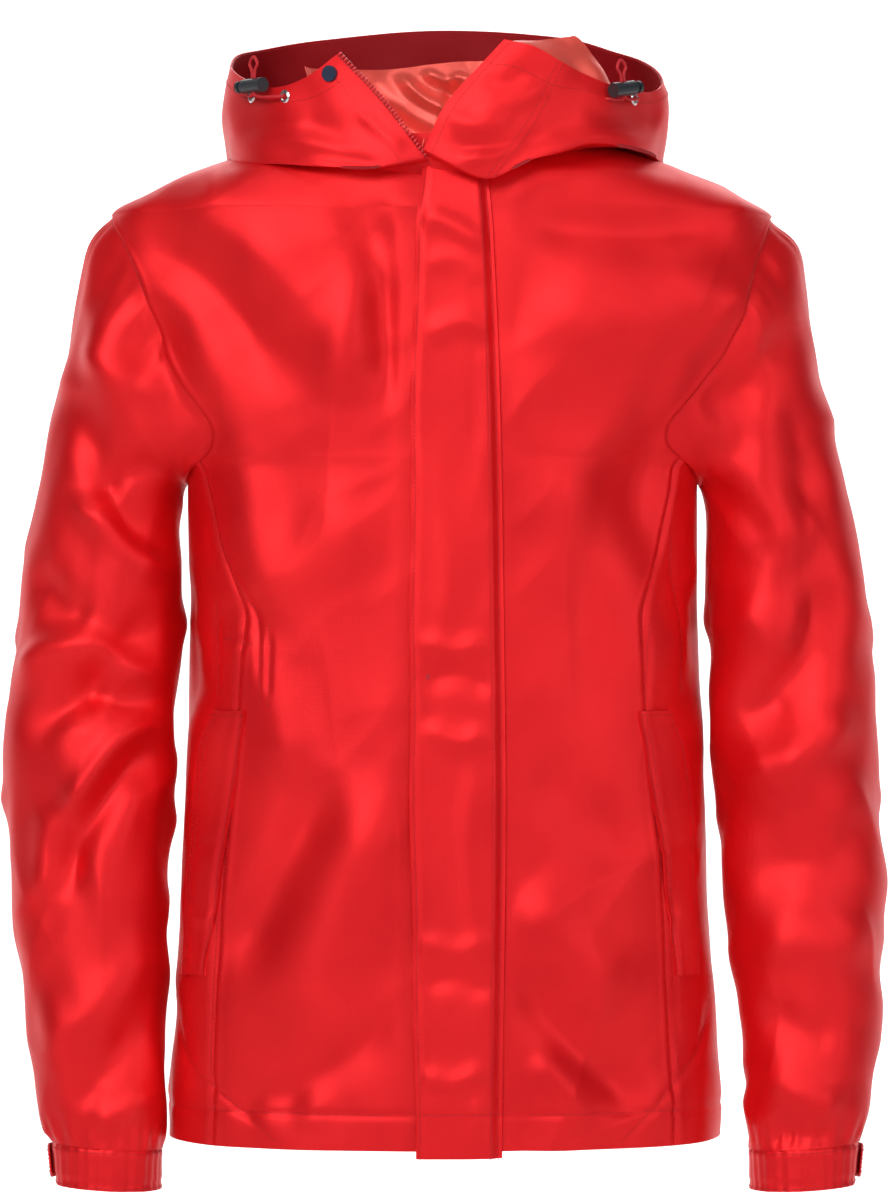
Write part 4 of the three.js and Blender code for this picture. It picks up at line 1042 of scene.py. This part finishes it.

# %% [markdown]
# The storm flap covers the zip. It is sewn along one edge only and swings open there. At that edge the
# flap's height is blended down to the body, so the cloth steps down to its seam.

# %% Storm flap
FLAP_FREE, FLAP_SEWN, FLAP_TOP = -22.0, 41.0, -13.0
FLAP_FREE_CURVE = [(-713, 3.0), (-560, 0.4), (-420, -1.2), (-200, -0.6), (-60, 3.4), (-20, 8)]
FLAP_SEWN_CURVE = [(-713, 0.5), (-470, 3.0), (-330, 1.6), (-180, -1.0), (-60, -6), (-20, -9)]
FLAP_FOLDS = [
    ([(-20, -50), (8, -62), (34, -78)], 2.2, 9, 7),
    ([(-18, -88), (10, -84), (36, -100)], 1.0, 7, 9),
    ([(-16, -140), (14, -128), (38, -140)], 1.8, 9, 8),
    ([(-20, -350), (8, -360), (36, -352)], 1.8, 9, 7),
    ([(-20, -384), (10, -376), (38, -390)], -1.8, 7, 9),
    ([(-18, -412), (12, -424), (36, -414)], 2.0, 8, 8),
    ([(-20, -560), (10, -572), (38, -560)], 1.6, 9, 8),
    ([(-20, -596), (8, -590), (36, -604)], -1.8, 7, 9),
    ([(-20, -655), (8, -664), (36, -650)], 2.0, 9, 7),
    ([(-18, -684), (12, -678), (38, -690)], 0.8, 8, 8),
    ([(-14, -205), (4, -290), (-4, -370)], 1.0, 9, 12),
    ([(26, -420), (18, -500), (28, -590)], 1.0, 10, 9),
]


def flap_grid(columns=44):
    """The storm flap's outer face, over the zip, from its free edge to its sewn edge."""
    z = np.concatenate([np.arange(HEM_Z - 4, FLAP_TOP, 2.6), [FLAP_TOP]])[:, None]
    share = np.linspace(0, 1, columns)[None, :]
    # the flap is cut a little wider at its foot, and its free edge waves
    free = FLAP_FREE + follow(FLAP_FREE_CURVE, z) + 0.5 * np.sin(z / 23)
    sewn = FLAP_SEWN + follow(FLAP_SEWN_CURVE, z)
    x = free + (sewn - free) * share
    zz = np.broadcast_to(z, x.shape)
    angle = -np.where(x > 0, angle_at(x, zz), math.pi - angle_at(x, zz))
    step_down = smoothstep(sewn - 9, sewn - 2, x)
    lift = 7.2 * (1 - step_down) + 2.3 * step_down
    lift += 1.7 * folds(FLAP_FOLDS, x, zz) * smoothstep(0, 0.12, 1 - share)
    lift += seam_dip(x - sewn + 2.6, 0.6, 1.6) + seam_dip(x - free - 3.2, 0.5, 1.8)
    lift += 0.5 * np.exp(-((x - free) / 2.2)**2) * np.sin(z / 7.5)
    grid = on_body(angle, zz, lift)
    return outward_front(grid)


def outward_front(grid):
    """The grid turned so that its normals point to the front."""
    return grid if normals_of(grid)[..., 1].sum() < 0 else grid[:, ::-1]


flap = cloth("storm_flap_cloth", flap_grid(), 1.3, SHELL_RED)
dress(flap, None, "shell_fabric", "storm_flap")
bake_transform(flap)
print("flap is", round(FLAP_SEWN - FLAP_FREE), "mm wide")


# %% [markdown]
# A welt is a narrow folded strip over a pocket's mouth: its inner edge is sewn down, its outer edge stands
# off the body by a few millimetres, and that small step is what throws its shadow.

# %% Pocket welts
# two creases across the wearer's left welt
WELT_FOLDS = [([(130, -545), (160, -552), (190, -548)], 1.6, 5, 5),
              ([(130, -505), (160, -498), (190, -506)], -1.2, 5, 6)]


def welt_grid(side):
    """A welt along the side seam, its outer edge free, its inner edge sewn to the front."""
    z = np.arange(-592, -400, 3.0)[:, None]
    share = np.linspace(0, 1, 22)[None, :]
    inner = follow([(-592, 168), (-540, 160), (-490, 153), (-430, 144), (-400, 139)], z)
    outer = follow([(-592, 183), (-540, 181), (-490, 179), (-430, 173), (-400, 163)], z)
    x = inner + (outer - inner) * share
    zz = np.broadcast_to(z, x.shape)
    angle = -angle_at(x, zz) if side > 0 else angle_at(x, zz) - math.pi
    lift = 1.4 + 2.2 * smoothstep(0.2, 1.0, share) + 0.5 * np.sin(z / 17 + share * 2)
    lift += seam_dip((share - 0.08) * 20, 0.7, 1.6) + folds(WELT_FOLDS, x, zz)
    return outward_front(on_body(angle, zz, lift))


for side, name in ((-1, "right"), (1, "left")):
    dress(cloth(f"pocket_welt_cloth_{name}", welt_grid(side), 1.2, SHELL_RED), "root", "shell_fabric",
          f"pocket_welt_{name}")

# %% [markdown]
# ## The hood
# The hood lies folded back round the neck like a deep basin. Its outer wall comes out of the neck seam,
# turns up at a soft lower fold and ends in a rim with a casing for the cord. It is lofted through listed
# columns, from the wearer's right front edge round the back to the left front edge. Each column
# has the neck seam, the lower fold, the wall and the rim. In front the two edges stand open in a V, and
# the wearer's left edge is folded over so that it leans outwards.

# %% Hood columns
WALL_DEPTH, WALL_HALF = 113.0, 159.0


def wall_y(x, depth=WALL_DEPTH):
    """How far in front of the body's middle the hood's front wall stands at this x."""
    return -depth * (1 - min(1, abs(x) / WALL_HALF)**2.2)**0.45


# for each column: neck (x, y, z), fold (x, y, z), wall (x, y, z), rim (x, y, z)
HOOD = [
    [(-8, -105, -24), (-12, -117, -13), (-43, wall_y(-43) - 3, 27), (-75, wall_y(-75) - 2, 62)],
    [(-34, -98, -24), (-50, -117, -20), (-74, wall_y(-74) - 4, 12), (-97, wall_y(-97) - 2, 47)],
    [(-58, -84, -16), (-90, wall_y(-90) - 8, -17), (-108, wall_y(-108) - 5, 12),
     (-120, wall_y(-120) - 2, 41)],
    [(-76, -56, -4), (-128, -80, -13), (-146, -58, 17), (-141, -57, 49)],
    [(-87, -18, 6), (-150, -36, -8), (-158, -26, 30), (-154, -24, 62)],
    [(-87, 15, 9), (-154, 24, -14), (-160, 28, 36), (-151, 26, 76)],
    [(-76, 42, 11), (-142, 84, -74), (-148, 88, 16), (-132, 72, 86)],
    [(-46, 58, 12), (-96, 122, -128), (-100, 130, 0), (-88, 98, 96)],
    [(0, 64, 12), (-6, 134, -142), (-2, 142, -2), (-4, 108, 104)],
    [(46, 58, 12), (92, 123, -128), (98, 130, 2), (84, 98, 98)],
    [(76, 42, 11), (140, 86, -76), (148, 88, 14), (130, 70, 83)],
    [(87, 15, 9), (154, 24, -14), (161, 28, 34), (154, 26, 68)],
    [(87, -18, 6), (152, -34, -6), (161, -26, 26), (159, -24, 50)],
    [(76, -56, -4), (136, -74, -3), (148, -52, 20), (147, -50, 41)],
    [(60, -82, -14), (100, wall_y(100) - 8, -1), (114, wall_y(114) - 6, 20), (123, wall_y(123) - 3, 42)],
    [(44, -94, -20), (62, -116, -14), (88, wall_y(88) - 8, 18), (100, wall_y(100) - 6, 49)],
    [(28, -102, -26), (33, -121, -27), (64, -117, 14), (84, -112, 56)],
    [(12, -106, -26), (9, -124, -20), (34, -124, 26), (64, -120, 66)],
    [(-6, -107, -25), (-14, -122, -8), (4, -121, 28), (43, -119, 71)],
]
HOOD = np.array(HOOD, float)
HOOD_CREASES = [
    ([(-150, 6), (-120, 4), (-88, -2), (-60, -10)], 3.0, 7, 9),
    ([(-130, -4), (-95, -8), (-60, -14), (-34, -18)], -2.6, 5, 5),
    ([(-62, 24), (-44, 6), (-24, -8)], 1.8, 6, 5),
    ([(-100, 20), (-84, 6), (-66, -8)], -1.4, 8, 8),
    ([(18, 20), (48, 26), (78, 42)], 2.4, 7, 7),
    ([(0, 2), (22, -6), (56, -2), (78, 10)], -3.0, 6, 6),
    ([(8, -14), (36, -10), (66, 2)], 3.2, 6, 5),
    ([(-2, 18), (24, 10), (54, 18)], 2.0, 6, 6),
    ([(60, -10), (92, 0), (130, 8), (154, 4)], 2.4, 7, 8),
    ([(88, -6), (120, -2), (150, -6)], -2.2, 5, 5),
    ([(96, 30), (120, 18), (148, 22)], -1.2, 8, 8),
    ([(26, 44), (44, 40), (62, 52)], -1.6, 6, 6),
]


def hood_grid(first=0, last=18, low=0.0, high=3.0, columns=420, rows=56, lift=0.0):
    """Outer face of the hood between two columns and two rows, raised by lift."""
    neck, fold_line, wall, rim = (HOOD[:, k] for k in range(4))
    under = neck * 0.42 + fold_line * 0.58 + np.array([0, 0, 3.0])
    inner_fold = fold_line * 0.86 + wall * 0.14
    inner_fold[:, :2] *= 1.015
    stations = np.stack([neck, under, fold_line, inner_fold, wall, rim])
    places = np.array([0, 0.55, 1.0, 1.28, 2.0, 3.0])
    at = np.linspace(first, last, columns)
    wide = np.stack([spline(row, at) for row in stations])
    up = np.interp(np.linspace(low, high, rows), places, np.arange(len(places)))
    grid = spline(wide, up)
    grid = facing_out(grid)
    normal = normals_of(grid)
    normal /= np.maximum(np.linalg.norm(normal, axis=2, keepdims=True), 1e-9)
    x, y, z = grid[..., 0], grid[..., 1], grid[..., 2]
    front = smoothstep(-20, -60, y)
    height = front * folds(HOOD_CREASES, x, z)
    height += (1 - 0.6 * front) * drift(grid, 23, 70, 1.7) + drift(grid, 29, 34, 0.45)
    edge = 0.25 + 0.75 * smoothstep(3.0, 2.6, np.linspace(low, high, rows))[:, None]
    return grid + normal * (height * edge + lift)[..., None]


print("hood columns:", len(HOOD), "rim from", HOOD[:, 3, 2].min(), "to", HOOD[:, 3, 2].max())

# %% [markdown]
# The hood is cut from three panels. They are three runs of the same columns, so their edges meet.

# %% Hood shell
for name, first, last, columns, node_name in (
        ("right", 0, 6.2, 150, "hood_side_right"), ("left", 9.8, 18, 190, "hood_side_left")):
    piece = cloth(f"hood_side_cloth_{name}", hood_grid(first, last, columns=columns), 1.0, SHELL_RED,
                  lining=SHADED_INNER_RED)
    dress(piece, "root", "shell_fabric", node_name)
piece = cloth("hood_back_cloth", hood_grid(6.2, 9.8, columns=90), 1.0, SHELL_RED, lining=SHADED_INNER_RED)
dress(piece, "root", "shell_fabric", "hood_centre")


# %% [markdown]
# The casing turns in along the rim and holds the cord. It and the inside are the same surface moved
# inwards and turned to face in, which keeps an even gap to the shell.

# %% Rim casing and the hood's inside
def turned_in(grid):
    return grid[:, ::-1]


# the casing and the inside take the darker red, painted shade for the hollow of the hood
rim = hood_grid(0.05, 17.9, 2.62, 2.985, 420, 12, -2.0)
dress(cloth("hood_rim_cloth", turned_in(rim), 0.8, SHADED_INNER_RED), "root", "shell_fabric", "hood_rim_casing")
basin = hood_grid(0.05, 17.9, 1.3, 2.62, 300, 32, -2.4)
dress(cloth("hood_inside_cloth", turned_in(basin), 0.6, SHADED_INNER_RED), "root", "lining_fabric", "hood_lining")

# %% [markdown]
# Inside the open neck the light satin lining shows, crumpled where the hood folds down on itself. It is
# one sheet behind the V of the front, with sharp folds that run down towards the zip. A collar facing
# stands behind the wearer's left edge.

# %% Crumpled lining
LINING_FOLDS = [
    ([(-84, 66), (-60, 34), (-30, 14), (0, -10)], 6.0, 7, 4),
    ([(-62, 70), (-46, 44), (-12, 22), (10, 12)], -5.5, 6, 6),
    ([(-40, 72), (-22, 52), (6, 36), (24, 30)], 6.0, 8, 4),
    ([(-20, 70), (2, 62), (22, 66)], 5.0, 5, 4),
    ([(-2, 72), (6, 52), (4, 30), (-6, 6)], -5.0, 6, 5),
    ([(18, 70), (22, 52), (34, 34)], 5.0, 5, 4),
    ([(40, 74), (30, 54), (12, 30), (2, 16)], -5.0, 5, 7),
    ([(62, 76), (42, 58), (28, 40)], 4.5, 6, 5),
    ([(-70, 40), (-50, 18), (-24, -2)], -3.0, 4, 4),
    ([(-50, 26), (-28, 10), (-8, -8)], 3.0, 3, 4),
    ([(14, 20), (4, 4), (-4, -14)], 4.0, 5, 4),
    ([(70, 78), (84, 70), (96, 74)], 3.0, 5, 5),
]


def crumpled_lining():
    """The satin sheet that hangs inside the back of the neck."""
    across = np.linspace(-1, 1, 170)[None, :]
    up = np.linspace(0, 1, 90)[:, None]
    half = 82 + 22 * up
    x = across * half + 2 * up
    top = 74 + 5 * np.sin(across * 2.4 + 0.6)
    z = -30 + (top + 30) * up
    y = (46 + 30 * up) * np.sqrt(np.clip(1 - (0.93 * across)**2, 0, 1)) + 10 * up
    grid = np.stack([x + 0 * y, y, z + 0 * x], axis=-1)
    grid = grid if normals_of(grid)[..., 1].sum() < 0 else grid[:, ::-1]
    normal = normals_of(grid)
    lift = 1.5 * folds(LINING_FOLDS, grid[..., 0], grid[..., 2]) + drift(grid, 31, 34, 1.4)
    return grid + normal * lift[..., None]


dress(cloth("neck_lining_satin", crumpled_lining(), 0.6, LINING), "root", "lining_fabric", "neck_band")


def collar_facing():
    """Lining side of the wearer's left front corner, which stands up behind the folded edge."""
    low = np.array([(42, -114, 69), (62, -113, 63), (84, -104, 54), (102, -92, 46), (122, -79, 40)], float)
    high = np.array([(47, -100, 71), (66, -96, 73), (88, -88, 77), (99, -84, 74), (122, -76, 43)], float)
    at = np.linspace(0, 4, 60)
    bottom = spline(low, at) - np.array([0, 0, 8.0])
    grid = spline(np.stack([bottom, spline(low, at), spline(high, at)]), np.linspace(0, 2, 24))
    grid = outward_front(grid)
    return grid + normals_of(grid) * drift(grid, 37, 26, 1.2)[..., None]


dress(cloth("collar_facing_satin", collar_facing(), 0.8, LINING), "root", "lining_fabric")
print("hood and lining made")


# %% [markdown]
# Behind each welt hangs a flat bag. It is read off the body surface with its folds, so it stays behind the
# front panel instead of poking through where the cloth folds in.

# %% Pocket bags
def bag_grid(side):
    """The flat bag behind each welt, inside the front panel."""
    z = np.linspace(-640, -420, 50)[:, None]
    share = np.linspace(0, 1, 40)[None, :]
    x = np.broadcast_to(58 + (150 - 58) * share, (50, 40))
    zz = np.broadcast_to(z, x.shape)
    angle = -angle_at(x, zz) if side > 0 else angle_at(x, zz) - math.pi
    return outward_front(on_body(angle, zz, np.full(x.shape, -2.4)))


for side, name in ((-1, "right"), (1, "left")):
    dress(cloth(f"pocket_bag_cloth_{name}", bag_grid(side), 0.8, LINING), "root", "lining_fabric",
          f"pocket_bag_{name}")

# %% [markdown]
# ## Stitches and zip teeth
# Both repeat along a line, so Geometry Nodes make them. The tree turns edges into a curve, cuts it into
# even steps, and puts one small shape at each step, turned along the line and facing the way stored in
# the line's `facing` attribute. The result is made a plain mesh before it rides on a body.


# %% The repeating tree
def repeat_tree(name, shape):
    """Node tree that lays a stitch or a tooth at each step along edges."""
    tree = bpy.data.node_groups.new(name, "GeometryNodeTree")
    face = tree.interface
    face.new_socket("Geometry", in_out="INPUT", socket_type="NodeSocketGeometry")
    for label, value in (("Pitch", 0.003), ("Length", 0.0022), ("Width", 0.0007), ("Depth", 0.0005)):
        socket = face.new_socket(label, in_out="INPUT", socket_type="NodeSocketFloat")
        socket.default_value = value
    face.new_socket("Material", in_out="INPUT", socket_type="NodeSocketMaterial")
    face.new_socket("Geometry", in_out="OUTPUT", socket_type="NodeSocketGeometry")
    into = tree.nodes.new("NodeGroupInput")
    out = tree.nodes.new("NodeGroupOutput")
    link = tree.links.new
    curve = tree.nodes.new("GeometryNodeMeshToCurve")
    link(into.outputs["Geometry"], curve.inputs[0])
    steps = tree.nodes.new("GeometryNodeResampleCurve")
    steps.mode = "LENGTH"
    link(curve.outputs[0], steps.inputs["Curve"])
    link(into.outputs["Pitch"], steps.inputs["Length"])
    facing = tree.nodes.new("GeometryNodeInputNamedAttribute")
    facing.data_type = "FLOAT_VECTOR"
    facing.inputs["Name"].default_value = "facing"
    tangent = tree.nodes.new("GeometryNodeInputTangent")
    along = tree.nodes.new("FunctionNodeAlignEulerToVector")
    along.axis = "X"
    link(tangent.outputs[0], along.inputs["Vector"])
    up = tree.nodes.new("FunctionNodeAlignEulerToVector")
    up.axis = "Z"
    up.pivot_axis = "X"
    link(along.outputs[0], up.inputs["Rotation"])
    link(facing.outputs["Attribute"], up.inputs["Vector"])
    if shape == "stitch":
        solid = tree.nodes.new("GeometryNodeMeshUVSphere")
        solid.inputs["Segments"].default_value = 6
        solid.inputs["Rings"].default_value = 4
        solid.inputs["Radius"].default_value = 0.5
    else:
        solid = tree.nodes.new("GeometryNodeMeshCube")
    scale = tree.nodes.new("ShaderNodeCombineXYZ")
    for label, socket in (("Length", "X"), ("Width", "Y"), ("Depth", "Z")):
        link(into.outputs[label], scale.inputs[socket])
    place = tree.nodes.new("GeometryNodeInstanceOnPoints")
    link(steps.outputs[0], place.inputs["Points"])
    link(solid.outputs["Mesh"], place.inputs["Instance"])
    link(up.outputs[0], place.inputs["Rotation"])
    link(scale.outputs[0], place.inputs["Scale"])
    real = tree.nodes.new("GeometryNodeRealizeInstances")
    link(place.outputs[0], real.inputs[0])
    finish = tree.nodes.new("GeometryNodeSetMaterial")
    link(real.outputs[0], finish.inputs["Geometry"])
    link(into.outputs["Material"], finish.inputs["Material"])
    link(finish.outputs[0], out.inputs[0])
    return tree


# pitch, length, width and depth in metres
STITCH = (0.0030, 0.0023, 0.00055, 0.00045)
FINE_STITCH = (0.0028, 0.0021, 0.0005, 0.0004)
TOOTH = (0.0029, 0.0016, 0.0032, 0.0026)
TREES = {"stitch": repeat_tree("stitches_along", "stitch"), "tooth": repeat_tree("teeth_along", "tooth")}


def repeat_along(name, lines, shape, sizes, material):
    """Plain mesh of stitches or teeth along lines of (points, facing), in pattern millimetres."""
    points, edges, ways = [], [], []
    for line, way in lines:
        start = len(points)
        points += (np.asarray(line) * 0.001 - [0, NAPE_BACK * 0.001, 0]).tolist()
        ways += np.broadcast_to(way, np.shape(line)).tolist()
        edges += [(start + k, start + k + 1) for k in range(len(line) - 1)]
    guide = bpy.data.meshes.new(f"{name}_guide")
    guide.from_pydata(points, edges, [])
    stored = guide.attributes.new("facing", "FLOAT_VECTOR", "POINT")
    stored.data.foreach_set("vector", np.array(ways, np.float32).reshape(-1))
    holder = bpy.data.objects.new(f"{name}_guide", guide)
    scene.collection.objects.link(holder)
    modifier = holder.modifiers.new("repeat", "NODES")
    modifier.node_group = TREES[shape]
    inputs = {s.name: s.identifier for s in TREES[shape].interface.items_tree if s.in_out == "INPUT"}
    for label, value in zip(("Pitch", "Length", "Width", "Depth"), sizes):
        modifier[inputs[label]] = value
    modifier[inputs["Material"]] = material
    bpy.context.view_layer.update()
    seen = holder.evaluated_get(bpy.context.evaluated_depsgraph_get())
    mesh = bpy.data.meshes.new_from_object(seen)
    bpy.data.objects.remove(holder)
    mesh.name = name
    mesh.materials.clear()
    mesh.materials.append(material)
    mesh.shade_smooth()
    made = bpy.data.objects.new(name, mesh)
    scene.collection.objects.link(made)
    print(f"{name}: {len(mesh.polygons)} faces along {len(lines)} lines")
    return made


# %% [markdown]
# Seam lines are read off the same surfaces as the cloth, a hair above it. Most are single rows. The
# storm flap, the pocket bands and the collar have the double row of a felled seam.

# %% Lines on the body
def body_line(x_or_angle, z, lift, by_angle=False):
    """Line on the body, by x on the front or by angle all round, with the way it faces."""
    z = np.asarray(z, float)
    values = np.broadcast_to(np.asarray(x_or_angle, float), z.shape)
    if by_angle:
        angle = values
    else:
        angle = np.where(values > 0, -angle_at(values, z), angle_at(values, z) - math.pi)
    line = on_body(angle, z, np.broadcast_to(lift, z.shape))
    way = line - on_body(angle, z, np.broadcast_to(lift, z.shape) - 1.0)
    return line, way


def on_side(angle, side):
    """The same angle on the wearer's left, side 1, or mirrored to the right, side -1."""
    return angle if side > 0 else math.pi - angle


BESIDE_SEAM = 3.4 / 200           # stitches run 3.4 mm beside a seam, as an angle round the body
shell_lines = []
high = np.arange(-230, SHOULDER_Z - 2, 2.5)
low = np.arange(-706, -236, 3.0)
for side in (-1, 1):
    for front in (1, 0):
        arm = angle_at(armhole_x(high, front) - 1.0, high)
        arm = np.where(high < -150, np.maximum(arm, side_angle(high)), arm) + BESIDE_SEAM
        shell_lines.append(body_line(on_side(-arm if front else arm, side), high, 0.3, True))
        seam = side_angle(low) + BESIDE_SEAM
        shell_lines.append(body_line(on_side(-seam if front else seam, side), low, 0.3, True))
for path in SEAM_LINES:
    drawn = spline(np.array(path, float), np.linspace(0, len(path) - 1, 24 * (len(path) - 1)))
    shell_lines.append(body_line(drawn[:, 0], drawn[:, 1], 0.4))
hem_angle = np.linspace(-math.pi / 2 + 0.24, 1.5 * math.pi - 0.13, 420)
shell_lines.append(body_line(hem_angle, np.full(420, HEM_STITCH_Z), 0.25, True))


# %% [markdown]
# Rows of stitches on the hood follow its columns and rows. A fine copy of the grid is kept, and a line is
# looked up in it by column and row number.

# %% Lines on the hood
HOOD_FACE = hood_grid(0, 18, 0, 3, 721, 121)
if HOOD_FACE[60, 0, 0] > HOOD_FACE[60, -1, 0]:
    HOOD_FACE = HOOD_FACE[:, ::-1]
HOOD_NORMAL = normals_of(HOOD_FACE)
if HOOD_NORMAL[90, 360, 1] < 0:
    HOOD_NORMAL = -HOOD_NORMAL


def hood_line(column, row, lift=0.3):
    """Line on the hood by column and row, with the way it faces."""
    column, row = np.broadcast_arrays(np.asarray(column, float), np.asarray(row, float))
    i = np.clip((column * 40).round().astype(int), 0, 720)
    j = np.clip((row * 40).round().astype(int), 0, 120)
    way = HOOD_NORMAL[j, i]
    return HOOD_FACE[j, i] + way * lift, way


rows_of_edge = np.linspace(1.08, 2.94, 46)
hood_lines = [hood_line(np.linspace(0.3, 17.7, 500), np.full(500, 2.62))]
hood_lines += [hood_line(np.full(46, at), rows_of_edge) for at in (0.42, 15.93, 16.12, 17.78)]
hood_lines += [hood_line(np.full(60, at), np.linspace(0.9, 2.6, 60)) for at in (6.05, 6.35, 9.65, 9.95)]
stitches = repeat_along("shell_stitches", shell_lines + hood_lines, "stitch", STITCH, THREAD)
dress(stitches, "root", "shell_fabric")

# %% [markdown]
# The smaller pieces already are grids, so a stitch line is one row or one column, lifted a little. The
# flap's rows are read off the flap's grid, and each tab's rows ride on its tab.

# %% Lines on the storm flap, welts, cuffs and tabs
def grid_line(grid, column=None, row=None, lift=0.3):
    """Line down a column or along a row of a grid, with the way it faces."""
    normal = normals_of(grid)
    pick = (slice(None), column) if row is None else (row, slice(None))
    return grid[pick] + normal[pick] * lift, normal[pick]


grid = flap_grid()
columns = grid.shape[1]
rightward = grid[10, 0, 0] < grid[10, -1, 0]
at_column = [c if rightward else columns - 1 - c for c in (2, columns - 3, columns - 7)]
hem_row = int(np.argmin(np.abs(grid[:, columns // 2, 2] - HEM_STITCH_Z)))
flap_lines = [grid_line(grid, column=c) for c in at_column] + [grid_line(grid, row=hem_row)]
flap_stitches = repeat_along("storm_flap_stitches", flap_lines, "stitch", STITCH, THREAD)
dress(flap_stitches, None, "shell_fabric")
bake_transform(flap_stitches)
welt_lines = []
for side in (-1, 1):
    grid = welt_grid(side)
    welt_lines += [grid_line(grid, column=c) for c in (2, 4, -3)] + [grid_line(grid, row=-2)]
cuff_lines = []
for name in ("right", "left"):
    grid = cuff_cloth(name)
    cuff_lines += [grid_line(np.concatenate([grid, grid[:, :1]], axis=1), row=row) for row in (1, 14)]
dress(repeat_along("pocket_and_cuff_stitches", welt_lines + cuff_lines, "stitch", STITCH, THREAD),
      "root", "shell_fabric")
for name in ("right", "left"):
    grid = tab_cloth(name)
    lines = [grid_line(grid, row=1), grid_line(grid, row=-2), grid_line(grid, column=2),
             grid_line(grid, column=-3)]
    tab_stitches = repeat_along(f"cuff_tab_stitches_{name}", lines, "stitch", FINE_STITCH, THREAD)
    dress(tab_stitches, f"cuff_tab_{name}", "shell_fabric")

# %% [markdown]
# ## The zip
# A moulded zip has one row of teeth on each tape. The wearer's right row shows where the collar stands
# open, so it follows that edge up to its top. Lower down the storm flap covers both rows, and the wearer's
# left row stays inside the folded collar.

# %% Zip teeth
def zip_line(side):
    """Centre line of one row of teeth, from the hem up to the top of the collar's open edge."""
    z = np.arange(-704, -48, 6.0)
    x = np.full(z.shape, 1.9 * side)
    line, way = body_line(x, z, 1.2)
    rows = np.linspace(1.22, 2.97, 70)
    # the wearer's left edge is folded over, so its row lies inside
    raised = 0.4 if side < 0 else -3.0
    edge, out = hood_line(np.full(70, 0.0 if side < 0 else 17.7), rows, raised)
    away = edge - hood_line(np.full(70, 0.6 if side < 0 else 17.1), rows, raised)[0]
    away /= np.linalg.norm(away, axis=1, keepdims=True)
    return [(line, way), (edge + away * 1.6, out)]


for side, name in ((-1, "right"), (1, "left")):
    runs = zip_line(side)
    teeth = repeat_along(f"zip_row_{name}", runs, "tooth", TOOTH, TOOTH_RED)
    dress(teeth, "root", "zip_plastic", f"zip_teeth_{name}")
    line, way = runs[0]
    inward = np.array([side * 8.0, 0, 0])
    tape = np.stack([line - way + inward * share for share in (0, 0.5, 1)], axis=1)
    tape = cloth(f"zip_tape_cloth_{name}", outward_front(tape), 0.5, TAPE)
    dress(tape, "root", "zip_tape", f"zip_tape_{name}")

# %% [markdown]
# ## Small trim
# Pieces whose CAD shape is already right keep it and only get a finish: cord locks, studs, eyelets,
# the slider with its pull, the zip's box and pin, the patches, the label and the hanger loop.

# %% Finish the CAD trim
def finish_node(name, material):
    """Gives a CAD node its material."""
    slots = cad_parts[name].material_slots
    for slot in slots:
        slot.material = material
    if not slots:
        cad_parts[name].data.materials.append(material)


TRIM = [("cord_lock_body_", BLACK_PLASTIC), ("cord_lock_plunger_", BLACK_PLASTIC),
        ("stud_", ENAMEL), ("hood_eyelet_", NICKEL), ("zip_slider", TOOTH_RED), ("zip_pull", TOOTH_RED),
        ("zip_box", TOOTH_RED), ("zip_pin", TOOTH_RED), ("hanger_loop", TAPE), ("neck_label", LABEL),
        ("cuff_hook_patch_", TAPE), ("cuff_loop_patch_", TAPE), ("flap_hook_patch_", TAPE),
        ("flap_loop_patch_", TAPE)]
finished = 0
for node_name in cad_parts:
    for start, material in TRIM:
        if node_name.startswith(start):
            finish_node(node_name, material)
            finished += 1
print(finished, "CAD nodes keep their shape")
